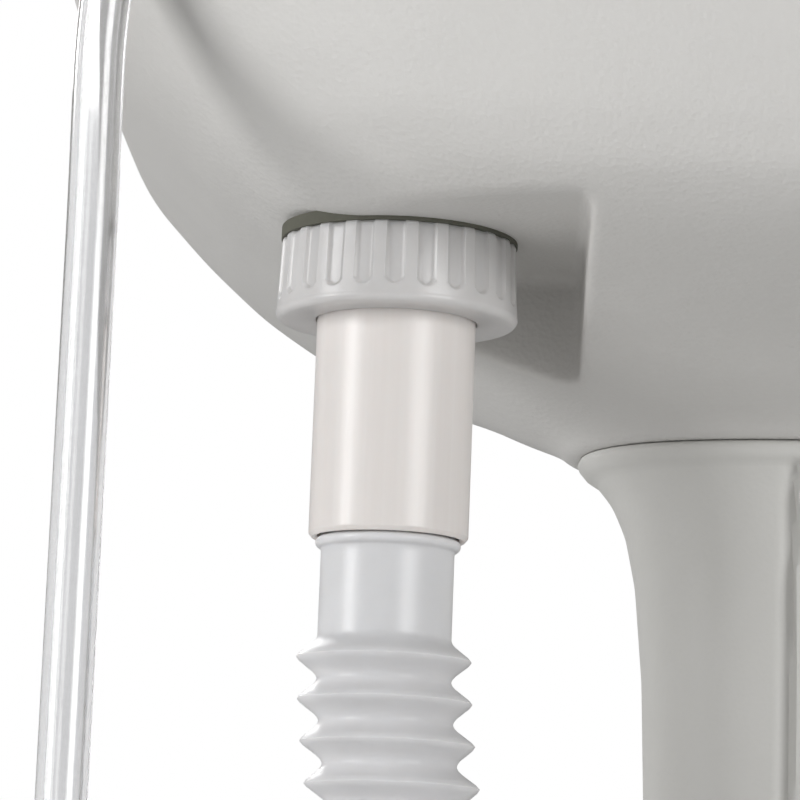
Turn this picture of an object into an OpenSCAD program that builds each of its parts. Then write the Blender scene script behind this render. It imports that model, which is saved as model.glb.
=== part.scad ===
// Portable handwash sink: a moulded tank base on two wheels, an oval pedestal column, a shelled
// basin with a drain in its rear corner, a foot pump, and a faucet fed through a clear hose.
// Origin at the centre of the footprint, on the floor. +Z up, the user stands on the -Y side.

/* [Overall] */
// Height of the basin's rim above the floor
rim_h = 862; // [760:2:1040]
// Width of the basin over its rim
basin_w = 456; // [380:2:550]
// Depth of the basin over its rim, front to back
basin_d = 392; // [340:2:480]
// Width of the tank base
base_w = 440; // [380:2:530]
// Depth of the tank base
base_d = 392; // [340:2:480]
// Height of the tank base's deck above the floor
deck_h = 240; // [215:1:290]

/* [Column] */
// Width of the column at its waist
column_w = 106; // [90:1:128]
// Depth of the column at its waist
column_d = 86; // [72:1:104]

/* [Drain] */
// Outside diameter of the tailpipe
pipe_od = 40; // [33:0.5:48]
// Length of tailpipe that shows below the drain nut
pipe_drop = 55; // [45:0.5:90]
// Outside diameter of the drain hose over its corrugations
hose_od = 43.6; // [36:0.2:50]

/* [Supply] */
// Outside diameter of the clear supply hose
tube_od = 12; // [10:0.5:14]
// Distance that the foot pump's pedal travels
pump_stroke = 25; // [15:1:30]

/* [Wheels] */
// Diameter of the transport wheels
wheel_d = 80; // [66:1:96]
// Width of a transport wheel
wheel_w = 24; // [20:1:30]

/* [Hidden] */
$fn = 48;
eps = 0.01;
gap = 0.3;         // air between neighbouring mouldings
fit = 0.05;        // radial running clearance of a shaft or plunger
wall = 3;          // wall of the blow-moulded shells
ring_n = 44;       // points round a lofted section
screw_d = 4;

// heights
basin_h = 176;                     // column flange to rim
flange_z = rim_h - basin_h;        // where the column meets the basin
pad_z = flange_z + 40.5;           // flat pad that the drain nut closes on
nut_h = 20.4;
nut_z = pad_z - 1.3 - nut_h;       // underside of the drain nut
floor_z = pad_z + 47.5;            // bowl floor away from the drain
sump_z = pad_z + 11.5;             // seat of the drain flange
hang_z = pad_z - 14.5;             // level that the clear hose's bends and the faucet's tail are set from
lift = 14;                         // tank underside above the floor

// plan positions
drain = [0.2675 * basin_w, 0.2347 * basin_d];
inlet = [0.193 * basin_w, 0.204 * basin_d];
faucet = [0.2303 * basin_w, 0.4286 * basin_d];
soap = [-0.2412 * basin_w, 0.4235 * basin_d];
riser = [0.397 * basin_w, 0.4133 * basin_d];
filler = [-0.27 * base_w, -0.13 * base_d];
barb = [0.375 * base_w, 0.255 * base_d];
pump = [0, -0.36 * base_d];
bowl_y = -0.0485 * basin_d;        // bowl centre, set forward of the basin's
step_z = lift + 82;                // tread well in the tank's front, as high as the pump is deep
well_w = 140;
well_back = pump[1] + 56;
split_y = 24;                      // wall between the fresh and the waste chambers
waste_x = inlet[0] + 46;           // waste chamber's right side
axle_d = 10;
axle_y = 0.4 * base_d;
axle_z = wheel_d / 2;
wheel_x = base_w / 2 - wheel_w / 2 - 14;
drain_port_z = 70;
port_y = base_d / 2 - 34;

// drain fittings
pipe_id = pipe_od - 4.6;
nut_od = pipe_od + 21;
body_od = pipe_od + 10;
neck_od = pipe_id - 2;
neck_id = neck_od - 3;
hose_top_z = nut_z - 22;
bead_z = nut_z - pipe_drop - 1.2;
bend_z = bead_z - 22;              // where the corrugations start
tube_id = tube_od - 4;

// foot pump
barrel_od = 56;
barrel_id = 46;
pedal_z = step_z + pump_stroke + 11;
piston_z = step_z - 12;
barrel_floor = piston_z - pump_stroke - 18;

// sections of the lofted shells: height, half width, half depth, superellipse exponent
hw = basin_w / 2;
hd = basin_d / 2;
flange_x = column_w / 2 + 22;
flange_y = column_d / 2 + 9;
basin_rows = [
  [0, flange_x, flange_y, 2.3], [8, 0.395 * hw, 0.357 * hd, 2.6], [17, 0.474 * hw, 0.49 * hd, 3],
  [26, 0.553 * hw, 0.633 * hd, 3.5], [35, 0.632 * hw, 0.765 * hd, 3.9],
  [44, 0.702 * hw, 0.842 * hd, 4.1], [56, 0.772 * hw, 0.883 * hd, 4.3],
  [71, 0.838 * hw, 0.913 * hd, 4.4], [88, 0.893 * hw, 0.939 * hd, 4.5],
  [106, 0.925 * hw, 0.959 * hd, 4.6], [131, 0.954 * hw, 0.974 * hd, 4.8],
  [158, 0.974 * hw, 0.985 * hd, 5], [basin_h - 8, 0.974 * hw, 0.985 * hd, 5]
];
bw = base_w / 2;
bd = base_d / 2;
base_rows = [
  [lift, 0.925 * bw, 0.92 * bd, 4.6], [lift + 5, 0.965 * bw, 0.96 * bd, 4.6],
  [lift + 16, 0.99 * bw, 0.99 * bd, 4.6], [60, bw, bd, 4.6],
  [deck_h - 70, 0.985 * bw, 0.98 * bd, 4.6], [deck_h - 34, 0.965 * bw, 0.96 * bd, 4.6],
  [deck_h - 12, 0.93 * bw, 0.92 * bd, 4.6], [deck_h - 3, 0.885 * bw, 0.87 * bd, 4.6],
  [deck_h, 0.84 * bw, 0.82 * bd, 4.6]
];
column_foot = deck_h + 6;
column_rows = [
  [column_foot - 6 + gap, column_w / 2 + 26, column_d / 2 + 18, 2.6],
  [column_foot, column_w / 2 + 26, column_d / 2 + 18, 2.6],
  [column_foot + 3, column_w / 2 + 14, column_d / 2 + 10, 2.5],
  [column_foot + 14, column_w / 2 + 6, column_d / 2 + 5, 2.4],
  [column_foot + 40, column_w / 2 + 2, column_d / 2 + 2, 2.3],
  [(column_foot + flange_z) / 2, column_w / 2, column_d / 2, 2.3],
  [flange_z - 110, column_w / 2 + 0.5, column_d / 2, 2.3],
  [flange_z - 60, column_w / 2 + 2.5, column_d / 2 + 1, 2.3],
  [flange_z - 34, column_w / 2 + 5, column_d / 2 + 2, 2.3],
  [flange_z - 20, column_w / 2 + 8, column_d / 2 + 3.5, 2.3],
  [flange_z - 11, column_w / 2 + 12, column_d / 2 + 5.5, 2.3],
  [flange_z - 5, column_w / 2 + 17, column_d / 2 + 7.5, 2.3],
  [flange_z - gap, flange_x - 0.6, flange_y - 0.4, 2.3]
];

// clear hose route: out of the deck barb, up behind the basin and in to the faucet's tail
riser_route = [
  [barb[0], barb[1], deck_h + 6], [barb[0], barb[1], deck_h + 22],
  [barb[0], barb[1], deck_h + 38], [barb[0] + 2, barb[1] + 12, deck_h + 90],
  [riser[0] - 4, riser[1] - 18, deck_h + 150], [riser[0], riser[1] - 2, deck_h + 210],
  [riser[0], riser[1], deck_h + 260], [riser[0], riser[1], hang_z - 160],
  [riser[0], riser[1], hang_z - 80], [riser[0], riser[1], hang_z],
  [riser[0], riser[1], hang_z + 32], [riser[0] - 3, riser[1] + 0.5, hang_z + 52],
  [riser[0] - 14, riser[1] + 2, hang_z + 71], [riser[0] - 34, riser[1] + 4, hang_z + 84],
  [faucet[0] + 17, faucet[1], hang_z + 89], [faucet[0] + 4, faucet[1], hang_z + 95],
  [faucet[0], faucet[1], hang_z + 103], [faucet[0], faucet[1], hang_z + 110],
  [faucet[0], faucet[1], hang_z + 118]
];

// one point of a superellipse
function bend(v, p) = sign(v) * pow(abs(v), p);
function section(row, n) = [
  for (i = [0:n - 1]) let (a = 360 * i / n)
    [row[1] * bend(cos(a), 2 / row[3]), row[2] * bend(sin(a), 2 / row[3]), row[0]]
];
// sections moved in by t on every side
function inset(rows, t) = [for (r = rows) [r[0], r[1] - t, r[2] - t, r[3]]];
function raise(rows, dz) = [for (r = rows) [r[0] + dz, r[1], r[2], r[3]]];
function smooth(u) = let (v = max(0, min(1, u))) v * v * (3 - 2 * v);
function unit(v) = v / norm(v);
// point at share t of the stretch from b to c on a smooth line through a, b, c and d
function spline(a, b, c, d, t) =
  0.5 * (2 * b + (c - a) * t + (2 * a - 5 * b + 4 * c - d) * t * t + (3 * b - a - 3 * c + d) * t * t * t);
function smooth_line(p, steps) = [
  for (i = [0:len(p) - 2], s = [0:steps - 1])
    spline(p[max(0, i - 1)], p[i], p[i + 1], p[min(len(p) - 1, i + 2)], s / steps),
  p[len(p) - 1]
];

// closed solid through superellipse sections
module loft(rows, n = ring_n) {
  m = len(rows);
  points = [for (r = rows) each section(r, n)];
  sides = [for (j = [0:m - 2], i = [0:n - 1]) let (k = (i + 1) % n)
    [j * n + i, (j + 1) * n + i, (j + 1) * n + k, j * n + k]];
  bottom = [for (i = [0:n - 1]) i];
  top = [for (i = [n - 1:-1:0]) (m - 1) * n + i];
  polyhedron(points, concat(sides, [bottom, top]), convexity = 6);
}

// hollow round hose along a line that never runs along Y
module hose(line, ro, ri, n) {
  m = len(line);
  function way(j) = unit(line[min(m - 1, j + 1)] - line[max(0, j - 1)]);
  function circle_at(j, r) = let (t = way(j), u = unit(cross([0, 1, 0], t)), v = cross(t, u))
    [for (i = [0:n - 1]) line[j] + r * (cos(360 * i / n) * u + sin(360 * i / n) * v)];
  outer = [for (j = [0:m - 1]) each circle_at(j, ro)];
  inner = [for (j = [0:m - 1]) each circle_at(j, ri)];
  q = m * n;
  skin = [for (j = [0:m - 2], i = [0:n - 1]) let (k = (i + 1) % n)
    each [[j * n + i, (j + 1) * n + i, (j + 1) * n + k, j * n + k],
          [q + j * n + i, q + j * n + k, q + (j + 1) * n + k, q + (j + 1) * n + i]]];
  start = [for (i = [0:n - 1]) let (k = (i + 1) % n) [i, k, q + k, q + i]];
  finish = [for (i = [0:n - 1]) let (k = (i + 1) % n, e = (m - 1) * n) [e + i, q + e + i, q + e + k, e + k]];
  polyhedron(concat(outer, inner), concat(skin, start, finish), convexity = 8);
}

// tube or ring standing on z = 0
module ring(ro, ri, h) {
  difference() {
    cylinder(r = ro, h = h);
    translate([0, 0, -1]) cylinder(r = ri, h = h + 2);
  }
}

// pan-head screw, head up, its head's underside at z = 0
module screw(d, l) {
  translate([0, 0, -l]) cylinder(d = d, h = l + eps);
  difference() {
    cylinder(d1 = d * 2.1, d2 = d * 1.6, h = d * 0.6);
    for (a = [0, 90]) rotate(a) translate([-d * 0.6, -d * 0.1, d * 0.3]) cube([d * 1.2, d * 0.2, d]);
  }
}

// helical spring of round wire, standing on z = 0
module spring(r, wire, h, turns) {
  steps = turns * 14;
  line = [for (s = [0:steps]) let (a = 360 * s / 14)
    [r * cos(a), r * sin(a), wire / 2 + (h - wire) * s / steps]];
  n = 6;
  function way(j) = unit(line[min(steps, j + 1)] - line[max(0, j - 1)]);
  points = [for (j = [0:steps]) let (t = way(j), u = unit([line[j][0], line[j][1], 0]), v = cross(t, u))
    each [for (i = [0:n - 1]) line[j] + wire / 2 * (cos(60 * i) * u + sin(60 * i) * v)]];
  sides = [for (j = [0:steps - 1], i = [0:n - 1]) let (k = (i + 1) % n, p = j * n, q = (j + 1) * n)
    each [[p + i, q + i, q + k], [p + i, q + k, p + k]]];
  polyhedron(points, concat(sides, [[for (i = [0:n - 1]) i], [for (i = [n - 1:-1:0]) steps * n + i]]));
}

// ---- tank base ----

// everything cut out of the tank's outside, grown by t for the wall behind it
module base_cuts(t) {
  translate([-well_w / 2 - t, -base_d, step_z - t])
    cube([well_w + 2 * t, base_d + well_back + t, deck_h]);
  for (s = [0, 1]) mirror([s, 0, 0])
    translate([wheel_x - wheel_w / 2 - 5 - t, axle_y - wheel_d / 2 - 6 - t, -1])
      cube([bw, base_d, wheel_d + 8 + t]);
  translate([-bw, axle_y - axle_d / 2 - 1 - t, -1])
    cube([base_w, axle_d + 2 + 2 * t, axle_z + axle_d / 2 + 2 + t]);
  translate([-40 - t, port_y - t, drain_port_z - 38 - t]) cube([80 + 2 * t, base_d, 76 + 2 * t]);
}

module chamber() {
  difference() {
    loft([for (i = [0:len(base_rows) - 1]) let (r = base_rows[i])
      [i == 0 ? r[0] + wall : i == len(base_rows) - 1 ? r[0] - wall : r[0], r[1] - wall, r[2] - wall, r[3]]]);
    base_cuts(wall);
    for (x = [-1, 1], y = [-1, 1]) translate([x * (column_w / 2 + 16), y * 20, deck_h - 25])
      cylinder(d = 14, h = 30);
  }
}

module waste_box(t) {
  translate([-bw, split_y + t, 0]) cube([bw + waste_x - t, bd + 10, deck_h]);
}

module base_tank() color([0.62, 0.61, 0.6]) {
  difference() {
    union() {
      difference() {
        loft(base_rows);
        base_cuts(0);
      }
      translate([filler[0], filler[1], deck_h - 4]) cylinder(d = 66, h = 18);
      translate([0, port_y - eps, drain_port_z]) rotate([-90, 0, 0]) cylinder(d = 40, h = 14);
    }
    difference() {
      chamber();
      waste_box(-wall);
    }
    intersection() {
      chamber();
      waste_box(0);
    }
    translate([filler[0], filler[1], deck_h - 10]) cylinder(d = 54, h = 40);
    translate([0, port_y - 6, drain_port_z]) rotate([-90, 0, 0]) cylinder(d = 28, h = 30);
    translate([inlet[0], inlet[1], deck_h - 10]) cylinder(d = neck_od + 10, h = 20);
    translate([barb[0], barb[1], deck_h - 10]) cylinder(d = 14 + 2 * fit, h = 20);
    translate([pump[0], pump[1], step_z - 10]) cylinder(d = barrel_od + 2, h = 20);
    for (a = [45:90:315]) translate([pump[0], pump[1], step_z - 10])
      rotate(a) translate([41, 0, 0]) cylinder(d = screw_d + 2 * fit, h = 20);
    for (x = [-1, 1], y = [-1, 1]) translate([x * (column_w / 2 + 16), y * 20, deck_h - 21])
      cylinder(d = screw_d + 2 * fit, h = 30);
  }
}

module front_feet() color([0.12, 0.12, 0.12]) {
  for (x = [-0.32, 0.32]) translate([x * base_w, -0.37 * base_d, 0]) {
    cylinder(d1 = 38, d2 = 44, h = lift - gap);
  }
}

module axle() color([0.75, 0.75, 0.76])
  translate([-wheel_x - wheel_w / 2 - 8, axle_y, axle_z]) rotate([0, 90, 0])
    cylinder(d = axle_d, h = 2 * wheel_x + wheel_w + 16);

module axle_caps() color([0.1, 0.1, 0.1])
  for (s = [-1, 1]) translate([s * (wheel_x + wheel_w / 2 + 1.5), axle_y, axle_z]) rotate([0, s * 90, 0])
    difference() {
      cylinder(d1 = 22, d2 = 18, h = 9);
      translate([0, 0, -1]) cylinder(d = axle_d, h = 7.5);
    }

module wheel(s) translate([s * wheel_x, axle_y, axle_z]) rotate([0, 90, 0])
  difference() {
    union() {
      translate([0, 0, -wheel_w / 2]) cylinder(d = wheel_d, h = wheel_w);
      translate([0, 0, -wheel_w / 2 - 1]) cylinder(d = 24, h = wheel_w + 2);
    }
    translate([0, 0, -wheel_w]) cylinder(d = axle_d + 2 * fit, h = 2 * wheel_w);
    for (m = [-1, 1]) translate([0, 0, m * wheel_w / 2 - 5]) ring(wheel_d / 2 - 12, 12, 10);
  }
module wheel_left() color([0.16, 0.16, 0.16]) wheel(-1);
module wheel_right() color([0.16, 0.16, 0.16]) wheel(1);

module cap(d, h, bore, depth) difference() {
  union() {
    cylinder(d = d, h = h - 2);
    translate([0, 0, h - 2]) cylinder(d1 = d, d2 = d - 4, h = 2);
    for (a = [0:15:345]) rotate(a) translate([d / 2, 0, 0]) cylinder(d = 3, h = h - 3, $fn = 16);
  }
  translate([0, 0, -1]) cylinder(d = bore, h = depth + 1);
}

module filler_cap() color([0.13, 0.35, 0.62])
  translate([filler[0], filler[1], deck_h + 1]) cap(78, 19, 66 + 2 * gap, 15.5);

module filler_gasket() color([0.1, 0.1, 0.1])
  translate([filler[0], filler[1], deck_h + 14.05]) ring(32.5, 27.5, 2.2);

module waste_cap() color([0.2, 0.2, 0.2])
  translate([0, port_y + 2, drain_port_z]) rotate([-90, 0, 0]) cap(50, 18, 40 + 2 * gap, 14.5);

module waste_gasket() color([0.1, 0.1, 0.1])
  translate([0, port_y + 14.05, drain_port_z]) rotate([-90, 0, 0]) ring(19.5, 14.5, 2.2);

module waste_grommet() color([0.12, 0.12, 0.12]) translate([inlet[0], inlet[1], 0]) difference() {
  union() {
    translate([0, 0, deck_h + eps]) cylinder(d = neck_od + 18, h = 5);
    translate([0, 0, deck_h - wall - 3]) cylinder(d = neck_od + 10 - 2 * fit, h = 8);
  }
  translate([0, 0, deck_h - 20]) cylinder(d = neck_od + 2 * fit, h = 40);
}

// ---- foot pump ----

module pump_housing() color([0.16, 0.16, 0.17]) translate([pump[0], pump[1], 0]) difference() {
  union() {
    translate([0, 0, step_z + 1.6]) cylinder(d = 98, h = 5);
    translate([0, 0, barrel_floor - 4]) cylinder(d = barrel_od, h = step_z + 12 - barrel_floor);
    translate([0, 0, barrel_floor - 12]) cylinder(d = 16, h = 9);
    translate([0, 0, barrel_floor + 5]) rotate([0, 90, 0]) cylinder(d = 14, h = 40);
  }
  translate([0, 0, barrel_floor]) cylinder(d = barrel_id, h = 60 - eps);
  translate([0, 0, barrel_floor]) cylinder(d = 12 + 2 * fit, h = 80);
  translate([0, 0, barrel_floor - 20]) cylinder(d = 9, h = 40);
  translate([0, 0, barrel_floor + 5]) rotate([0, 90, 0]) cylinder(d = 8, h = 50);
  for (a = [45:90:315]) rotate(a) translate([41, 0, step_z]) cylinder(d = screw_d + 2 * fit, h = 20);
}

module pump_gasket() color([0.08, 0.08, 0.08]) translate([pump[0], pump[1], step_z + eps]) difference() {
  ring(48, 30, 1.55);
  for (a = [45:90:315]) rotate(a) translate([41, 0, -1]) cylinder(d = screw_d + 1, h = 5);
}

module pump_screws() color([0.8, 0.8, 0.8]) translate([pump[0], pump[1], step_z + 6.65])
  for (a = [45:90:315]) rotate(a) translate([41, 0, 0]) screw(screw_d, 14);

module pump_pedal() color([0.15, 0.15, 0.16]) translate([pump[0], pump[1], pedal_z]) {
  difference() {
    union() {
      cylinder(d = 84, h = 7);
      translate([0, 0, 7]) cylinder(d1 = 84, d2 = 74, h = 4);
    }
    for (r = [10:9:28]) translate([0, 0, 9.5]) ring(r + 1.5, r, 3);
    translate([0, 0, -1]) cylinder(d = 12.1, h = 6);
  }
}

module pump_piston() color([0.85, 0.85, 0.83]) translate([pump[0], pump[1], 0]) difference() {
  union() {
    translate([0, 0, piston_z]) cylinder(r = barrel_id / 2 - fit, h = 9);
    translate([0, 0, piston_z]) cylinder(d = 12, h = pedal_z + 4.9 - piston_z);
  }
  translate([0, 0, piston_z + 3]) ring(barrel_id, barrel_id / 2 - 3, 3);
}

module piston_seal() color([0.1, 0.1, 0.1]) translate([pump[0], pump[1], piston_z + 3.1])
  ring(barrel_id / 2 - 0.02, barrel_id / 2 - 2.9, 2.8);

module pump_spring() color([0.7, 0.7, 0.72]) translate([pump[0], pump[1], barrel_floor + 0.1])
  spring(14, 2, piston_z - barrel_floor - 0.2, 4);

module pump_gaiter() color([0.09, 0.09, 0.09]) translate([pump[0], pump[1], step_z + 8.05])
  rotate_extrude() {
    folds = 4;
    h = pedal_z - step_z - 8.15;
    polygon(concat(
      [for (i = [0:2 * folds]) [i % 2 == 0 ? 31 : 38, h * i / (2 * folds)]],
      [for (i = [2 * folds:-1:0]) [i % 2 == 0 ? 29 : 36, h * i / (2 * folds)]]));
  }

module inlet_valve() color([0.1, 0.1, 0.1]) translate([pump[0], pump[1], barrel_floor + 0.02])
  cylinder(d = 13, h = 1.2);

module outlet_valve() color([0.85, 0.3, 0.2]) translate([pump[0] + 30, pump[1], barrel_floor + 5])
  rotate([0, 90, 0]) difference() {
    union() {
      cylinder(d = 7.9, h = 2.5);
      cylinder(d1 = 7.4, d2 = 2, h = 8);
    }
    translate([0, 0, -1]) cylinder(d1 = 6, d2 = 0.8, h = 8);
  }

module suction_strainer() color([0.9, 0.9, 0.88]) translate([pump[0], pump[1], barrel_floor - 18.4])
  difference() {
    cylinder(d = 24, h = 14);
    translate([0, 0, 6]) cylinder(d = 16 + 2 * fit, h = 20);
    translate([0, 0, 2]) cylinder(d = 12, h = 5);
    for (a = [0:45:315]) rotate(a) translate([0, -1, 2]) cube([20, 2, 3]);
  }

feed = [barb[0], pump[1], barrel_floor + 5];
module feed_pipe() color([0.88, 0.9, 0.88]) difference() {
  union() {
    translate([pump[0] + 40.1, pump[1], feed[2]]) rotate([0, 90, 0])
      cylinder(d = 12, h = feed[0] - pump[0] - 40.1);
    translate(feed) sphere(d = 12);
    translate(feed) rotate([-90, 0, 0]) cylinder(d = 12, h = barb[1] - feed[1]);
    translate([barb[0], barb[1], feed[2]]) sphere(d = 12);
    translate([barb[0], barb[1], feed[2]]) cylinder(d = 12, h = deck_h - 14 - feed[2]);
  }
  translate([pump[0] + 30, pump[1], feed[2]]) rotate([0, 90, 0]) cylinder(d = 8, h = feed[0] - pump[0] - 30);
  translate(feed) sphere(d = 8);
  translate(feed) rotate([-90, 0, 0]) cylinder(d = 8, h = barb[1] - feed[1]);
  translate([barb[0], barb[1], feed[2]]) sphere(d = 8);
  translate([barb[0], barb[1], feed[2]]) cylinder(d = 8, h = deck_h);
}

module deck_barb() color([0.9, 0.9, 0.88]) translate([barb[0], barb[1], 0]) difference() {
  union() {
    translate([0, 0, deck_h + eps]) cylinder(d = 22, h = 5, $fn = 6);
    translate([0, 0, deck_h - 13.9]) cylinder(d = 14, h = 15);
    translate([0, 0, deck_h]) cylinder(d = tube_id - 2 * fit, h = 24);
  }
  translate([0, 0, deck_h - 20]) cylinder(d = tube_id - 3, h = 60);
}

// ---- column ----

top_seat = column_d / 2 + 1;       // spot face that the column's upper screws close on
module column() color([0.64, 0.64, 0.63]) difference() {
  union() {
    loft(column_rows);
    for (s = [-1, 1]) translate([-15, s * column_d / 2 - 4, column_foot + 30])
      cube([30, 8, flange_z - column_foot - 70]);
  }
  loft([for (i = [0:len(column_rows) - 1]) let (r = column_rows[i])
    [i == 0 ? r[0] - 1 : i == len(column_rows) - 1 ? r[0] + 1 : r[0],
     min(r[1] - wall, column_w / 2 + 10), min(r[2] - wall, column_d / 2 + 4), r[3]]]);
  for (x = [-1, 1], y = [-1, 1]) translate([x * (column_w / 2 + 16), y * 20, deck_h]) {
    cylinder(d = screw_d + 2 * fit, h = 30);
    translate([0, 0, column_foot - deck_h]) cylinder(d = 11, h = 12);
  }
  for (x = [-1, 1]) translate([x * 24, 0, flange_z - 16]) rotate([90, 0, 0]) {
    cylinder(d = screw_d + 2 * fit, h = column_d);
    translate([0, 0, top_seat]) cylinder(d = 11, h = column_d);
  }
}

module column_foot_screws() color([0.8, 0.8, 0.8])
  for (x = [-1, 1], y = [-1, 1]) translate([x * (column_w / 2 + 16), y * 20, column_foot + 0.02])
    screw(screw_d, 22);

module column_top_screws() color([0.8, 0.8, 0.8])
  for (x = [-1, 1]) translate([x * 24, -top_seat - 0.02, flange_z - 16]) rotate([90, 0, 0])
    screw(screw_d, 12);

// ---- basin ----

shell_rows = raise(basin_rows, flange_z);
notch_x = drain[0] - 47;
notch_y = drain[1] - 36;

// corner recess that the drain fittings sit in, grown by t
module notch(t) translate([notch_x - t, notch_y - t, flange_z - 10])
  cube([basin_w, basin_d, pad_z - flange_z + 10 + t]);

module basin_shell() color([0.66, 0.65, 0.64]) difference() {
  union() {
    difference() {
      loft(shell_rows);
      notch(0);
    }
    difference() {
      translate([0, 0, flange_z - 30]) linear_extrude(34) scale([column_w / 2 + 1, column_d / 2 - 2])
        circle(1);
      translate([0, 0, flange_z - 31]) linear_extrude(40) scale([column_w / 2 - 5, column_d / 2 - 8])
        circle(1);
    }
  }
  difference() {
    loft([for (i = [0:len(shell_rows) - 1]) let (r = shell_rows[i])
      [i == 0 ? r[0] + wall : i == len(shell_rows) - 1 ? r[0] + 1 : r[0], r[1] - wall, r[2] - wall, r[3]]]);
    notch(wall);
    translate([drain[0], drain[1], pad_z - 5]) cylinder(r = 36, h = 13.2);
  }
  translate([drain[0], drain[1], pad_z - 5]) cylinder(d = body_od + 1.2, h = 30);
  translate([drain[0], drain[1], pad_z - 5]) cylinder(r = nut_od / 2 + 1.1, h = 7);
  translate([riser[0] - 14, riser[1] + 2, hang_z + 40]) cylinder(d = tube_od + 14, h = 60);
  translate([drain[0], drain[1], sump_z - wall - gap]) cylinder(r = dish_r + wall + gap, h = 20);
  for (x = [-1, 1]) translate([x * 24, -column_d, flange_z - 16]) rotate([-90, 0, 0])
    cylinder(d = screw_d + 2 * fit, h = column_d);
  shell_screw_places() cylinder(d = 3 + 2 * fit, h = 30, center = true);
}

bowl_rows = [
  [floor_z, 0.79 * hw, 0.755 * hd, 5], [floor_z + 3, 0.81 * hw, 0.785 * hd, 5],
  [floor_z + 10, 0.825 * hw, 0.8 * hd, 5], [rim_h - 12, 0.84 * hw, 0.812 * hd, 5],
  [rim_h - 3, 0.85 * hw, 0.82 * hd, 5], [rim_h + 1, 0.865 * hw, 0.835 * hd, 5]
];
dish_r = body_od / 2 + 8;          // dish round the drain flange
deck_t = 4;
skirt_rows = [[rim_h - 22, hw, hd, 5], [rim_h - 2, hw, hd, 5], [rim_h, hw - 2, hd - 2, 5]];

// bowl hollow and the slope from its floor to the drain seat, grown by t
module bowl_space(t) {
  translate([0, bowl_y, 0]) loft([for (i = [0:len(bowl_rows) - 1]) let (r = bowl_rows[i])
    [t > 0 ? min(r[0] - (i == 0 ? t : 0), rim_h - 1 - 0.1 * (5 - i)) : r[0], r[1] + t, r[2] + t, r[3]]]);
  hull() {
    translate([drain[0], drain[1], sump_z - t]) cylinder(r = dish_r + t, h = 1, $fn = 32);
    translate([0, bowl_y, floor_z - t]) loft([
      [0.2, 0.79 * hw + t, 0.755 * hd + t, 5], [1, 0.79 * hw + t, 0.755 * hd + t, 5]]);
  }
}

module basin_bowl() color([0.68, 0.67, 0.66]) difference() {
  union() {
    difference() {
      loft(skirt_rows);
      loft([[rim_h - 24, 0.974 * hw + gap, 0.985 * hd + gap, 5], [rim_h - deck_t, 0.974 * hw + gap,
        0.985 * hd + gap, 5]]);
    }
    bowl_space(wall);
  }
  bowl_space(0);
  translate([drain[0], drain[1], sump_z - 10]) cylinder(d = body_od + 1.2, h = 20);
  translate([faucet[0], faucet[1], rim_h - 10]) cylinder(d = 21, h = 20);
  shell_screw_places() cylinder(d = 3 + 2 * fit, h = 30, center = true);
}

// screws through the skirt: two in the front, two in the back
module shell_screw_places()
  for (s = [-1, 1], x = [-0.22, 0.22])
    translate([x * basin_w, s * (hd - 0.4), rim_h - 15]) rotate([-s * 90, 0, 0]) children();

module shell_screws() color([0.8, 0.8, 0.8]) shell_screw_places() screw(3, 11);

// ---- drain ----

module drain_body() color([0.82, 0.83, 0.84]) translate([drain[0], drain[1], 0]) difference() {
  union() {
    translate([0, 0, sump_z + 1.05]) cylinder(r1 = dish_r - 2, r2 = dish_r - 4, h = 2.4);
    translate([0, 0, nut_z + 6.4]) cylinder(d = body_od, h = sump_z + 2 - nut_z - 6.4);
  }
  translate([0, 0, nut_z]) cylinder(d = pipe_od + 2, h = 50);
  translate([0, 0, sump_z - 2]) cylinder(d = pipe_od + 6, h = 20);
}

module bowl_gasket() color([0.1, 0.1, 0.1]) translate([drain[0], drain[1], sump_z + 0.02])
  ring(dish_r - 3, body_od / 2 + fit, 1);

module strainer() color([0.78, 0.79, 0.8]) translate([drain[0], drain[1], sump_z - 1.9]) difference() {
  union() {
    cylinder(d = pipe_od + 5, h = 1.6);
    cylinder(d = 8, h = 12);
    translate([0, 0, 11]) cylinder(d = 13, h = 3);
    ring(pipe_od / 2 + 2.5, pipe_od / 2 + 1, 5);
  }
  for (r = [8.5, 13.5, 18.5], a = [0:45:315]) rotate(a + r * 4) translate([r, 0, -1])
    cylinder(d = 3.4, h = 4, $fn = 16);
}

module pad_gasket() color([0.16, 0.16, 0.12]) translate([drain[0], drain[1], nut_z + nut_h + 0.02])
  ring(nut_od / 2 - 0.6, body_od / 2 + fit, pad_z + 1.95 - nut_z - nut_h);

module drain_nut() color([0.86, 0.87, 0.85]) translate([drain[0], drain[1], nut_z]) difference() {
  cylinder(d = nut_od, h = nut_h, $fn = 96);
  for (a = [0:15:345]) rotate(a) translate([nut_od / 2 + 1.6, 0, 0.22 * nut_h])
    cylinder(d = 5.2, h = nut_h, $fn = 16);
  translate([0, 0, -1]) cylinder(d = pipe_od + 0.8, h = 20);
  translate([0, 0, 2.6]) cylinder(d = body_od + 2 * fit, h = 20);
}

module slip_washer() color([0.15, 0.15, 0.15]) translate([drain[0], drain[1], nut_z + 4.7])
  ring(body_od / 2 - 0.1, pipe_od / 2 + fit, 1.65);

module tailpipe() color([0.91, 0.88, 0.86]) translate([drain[0], drain[1], 0]) difference() {
  union() {
    translate([0, 0, nut_z - pipe_drop]) cylinder(d1 = pipe_od - 1.6, d2 = pipe_od, h = 0.8);
    translate([0, 0, nut_z - pipe_drop + 0.8]) cylinder(d = pipe_od, h = pipe_drop + 3.8);
    translate([0, 0, nut_z + 2.65]) cylinder(d = body_od - 0.6, h = 2);
    translate([0, 0, nut_z + 4.6]) cylinder(d = pipe_od, h = 5);
  }
  translate([0, 0, nut_z - pipe_drop - 1]) cylinder(d = pipe_id, h = pipe_drop + 20);
}

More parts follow.
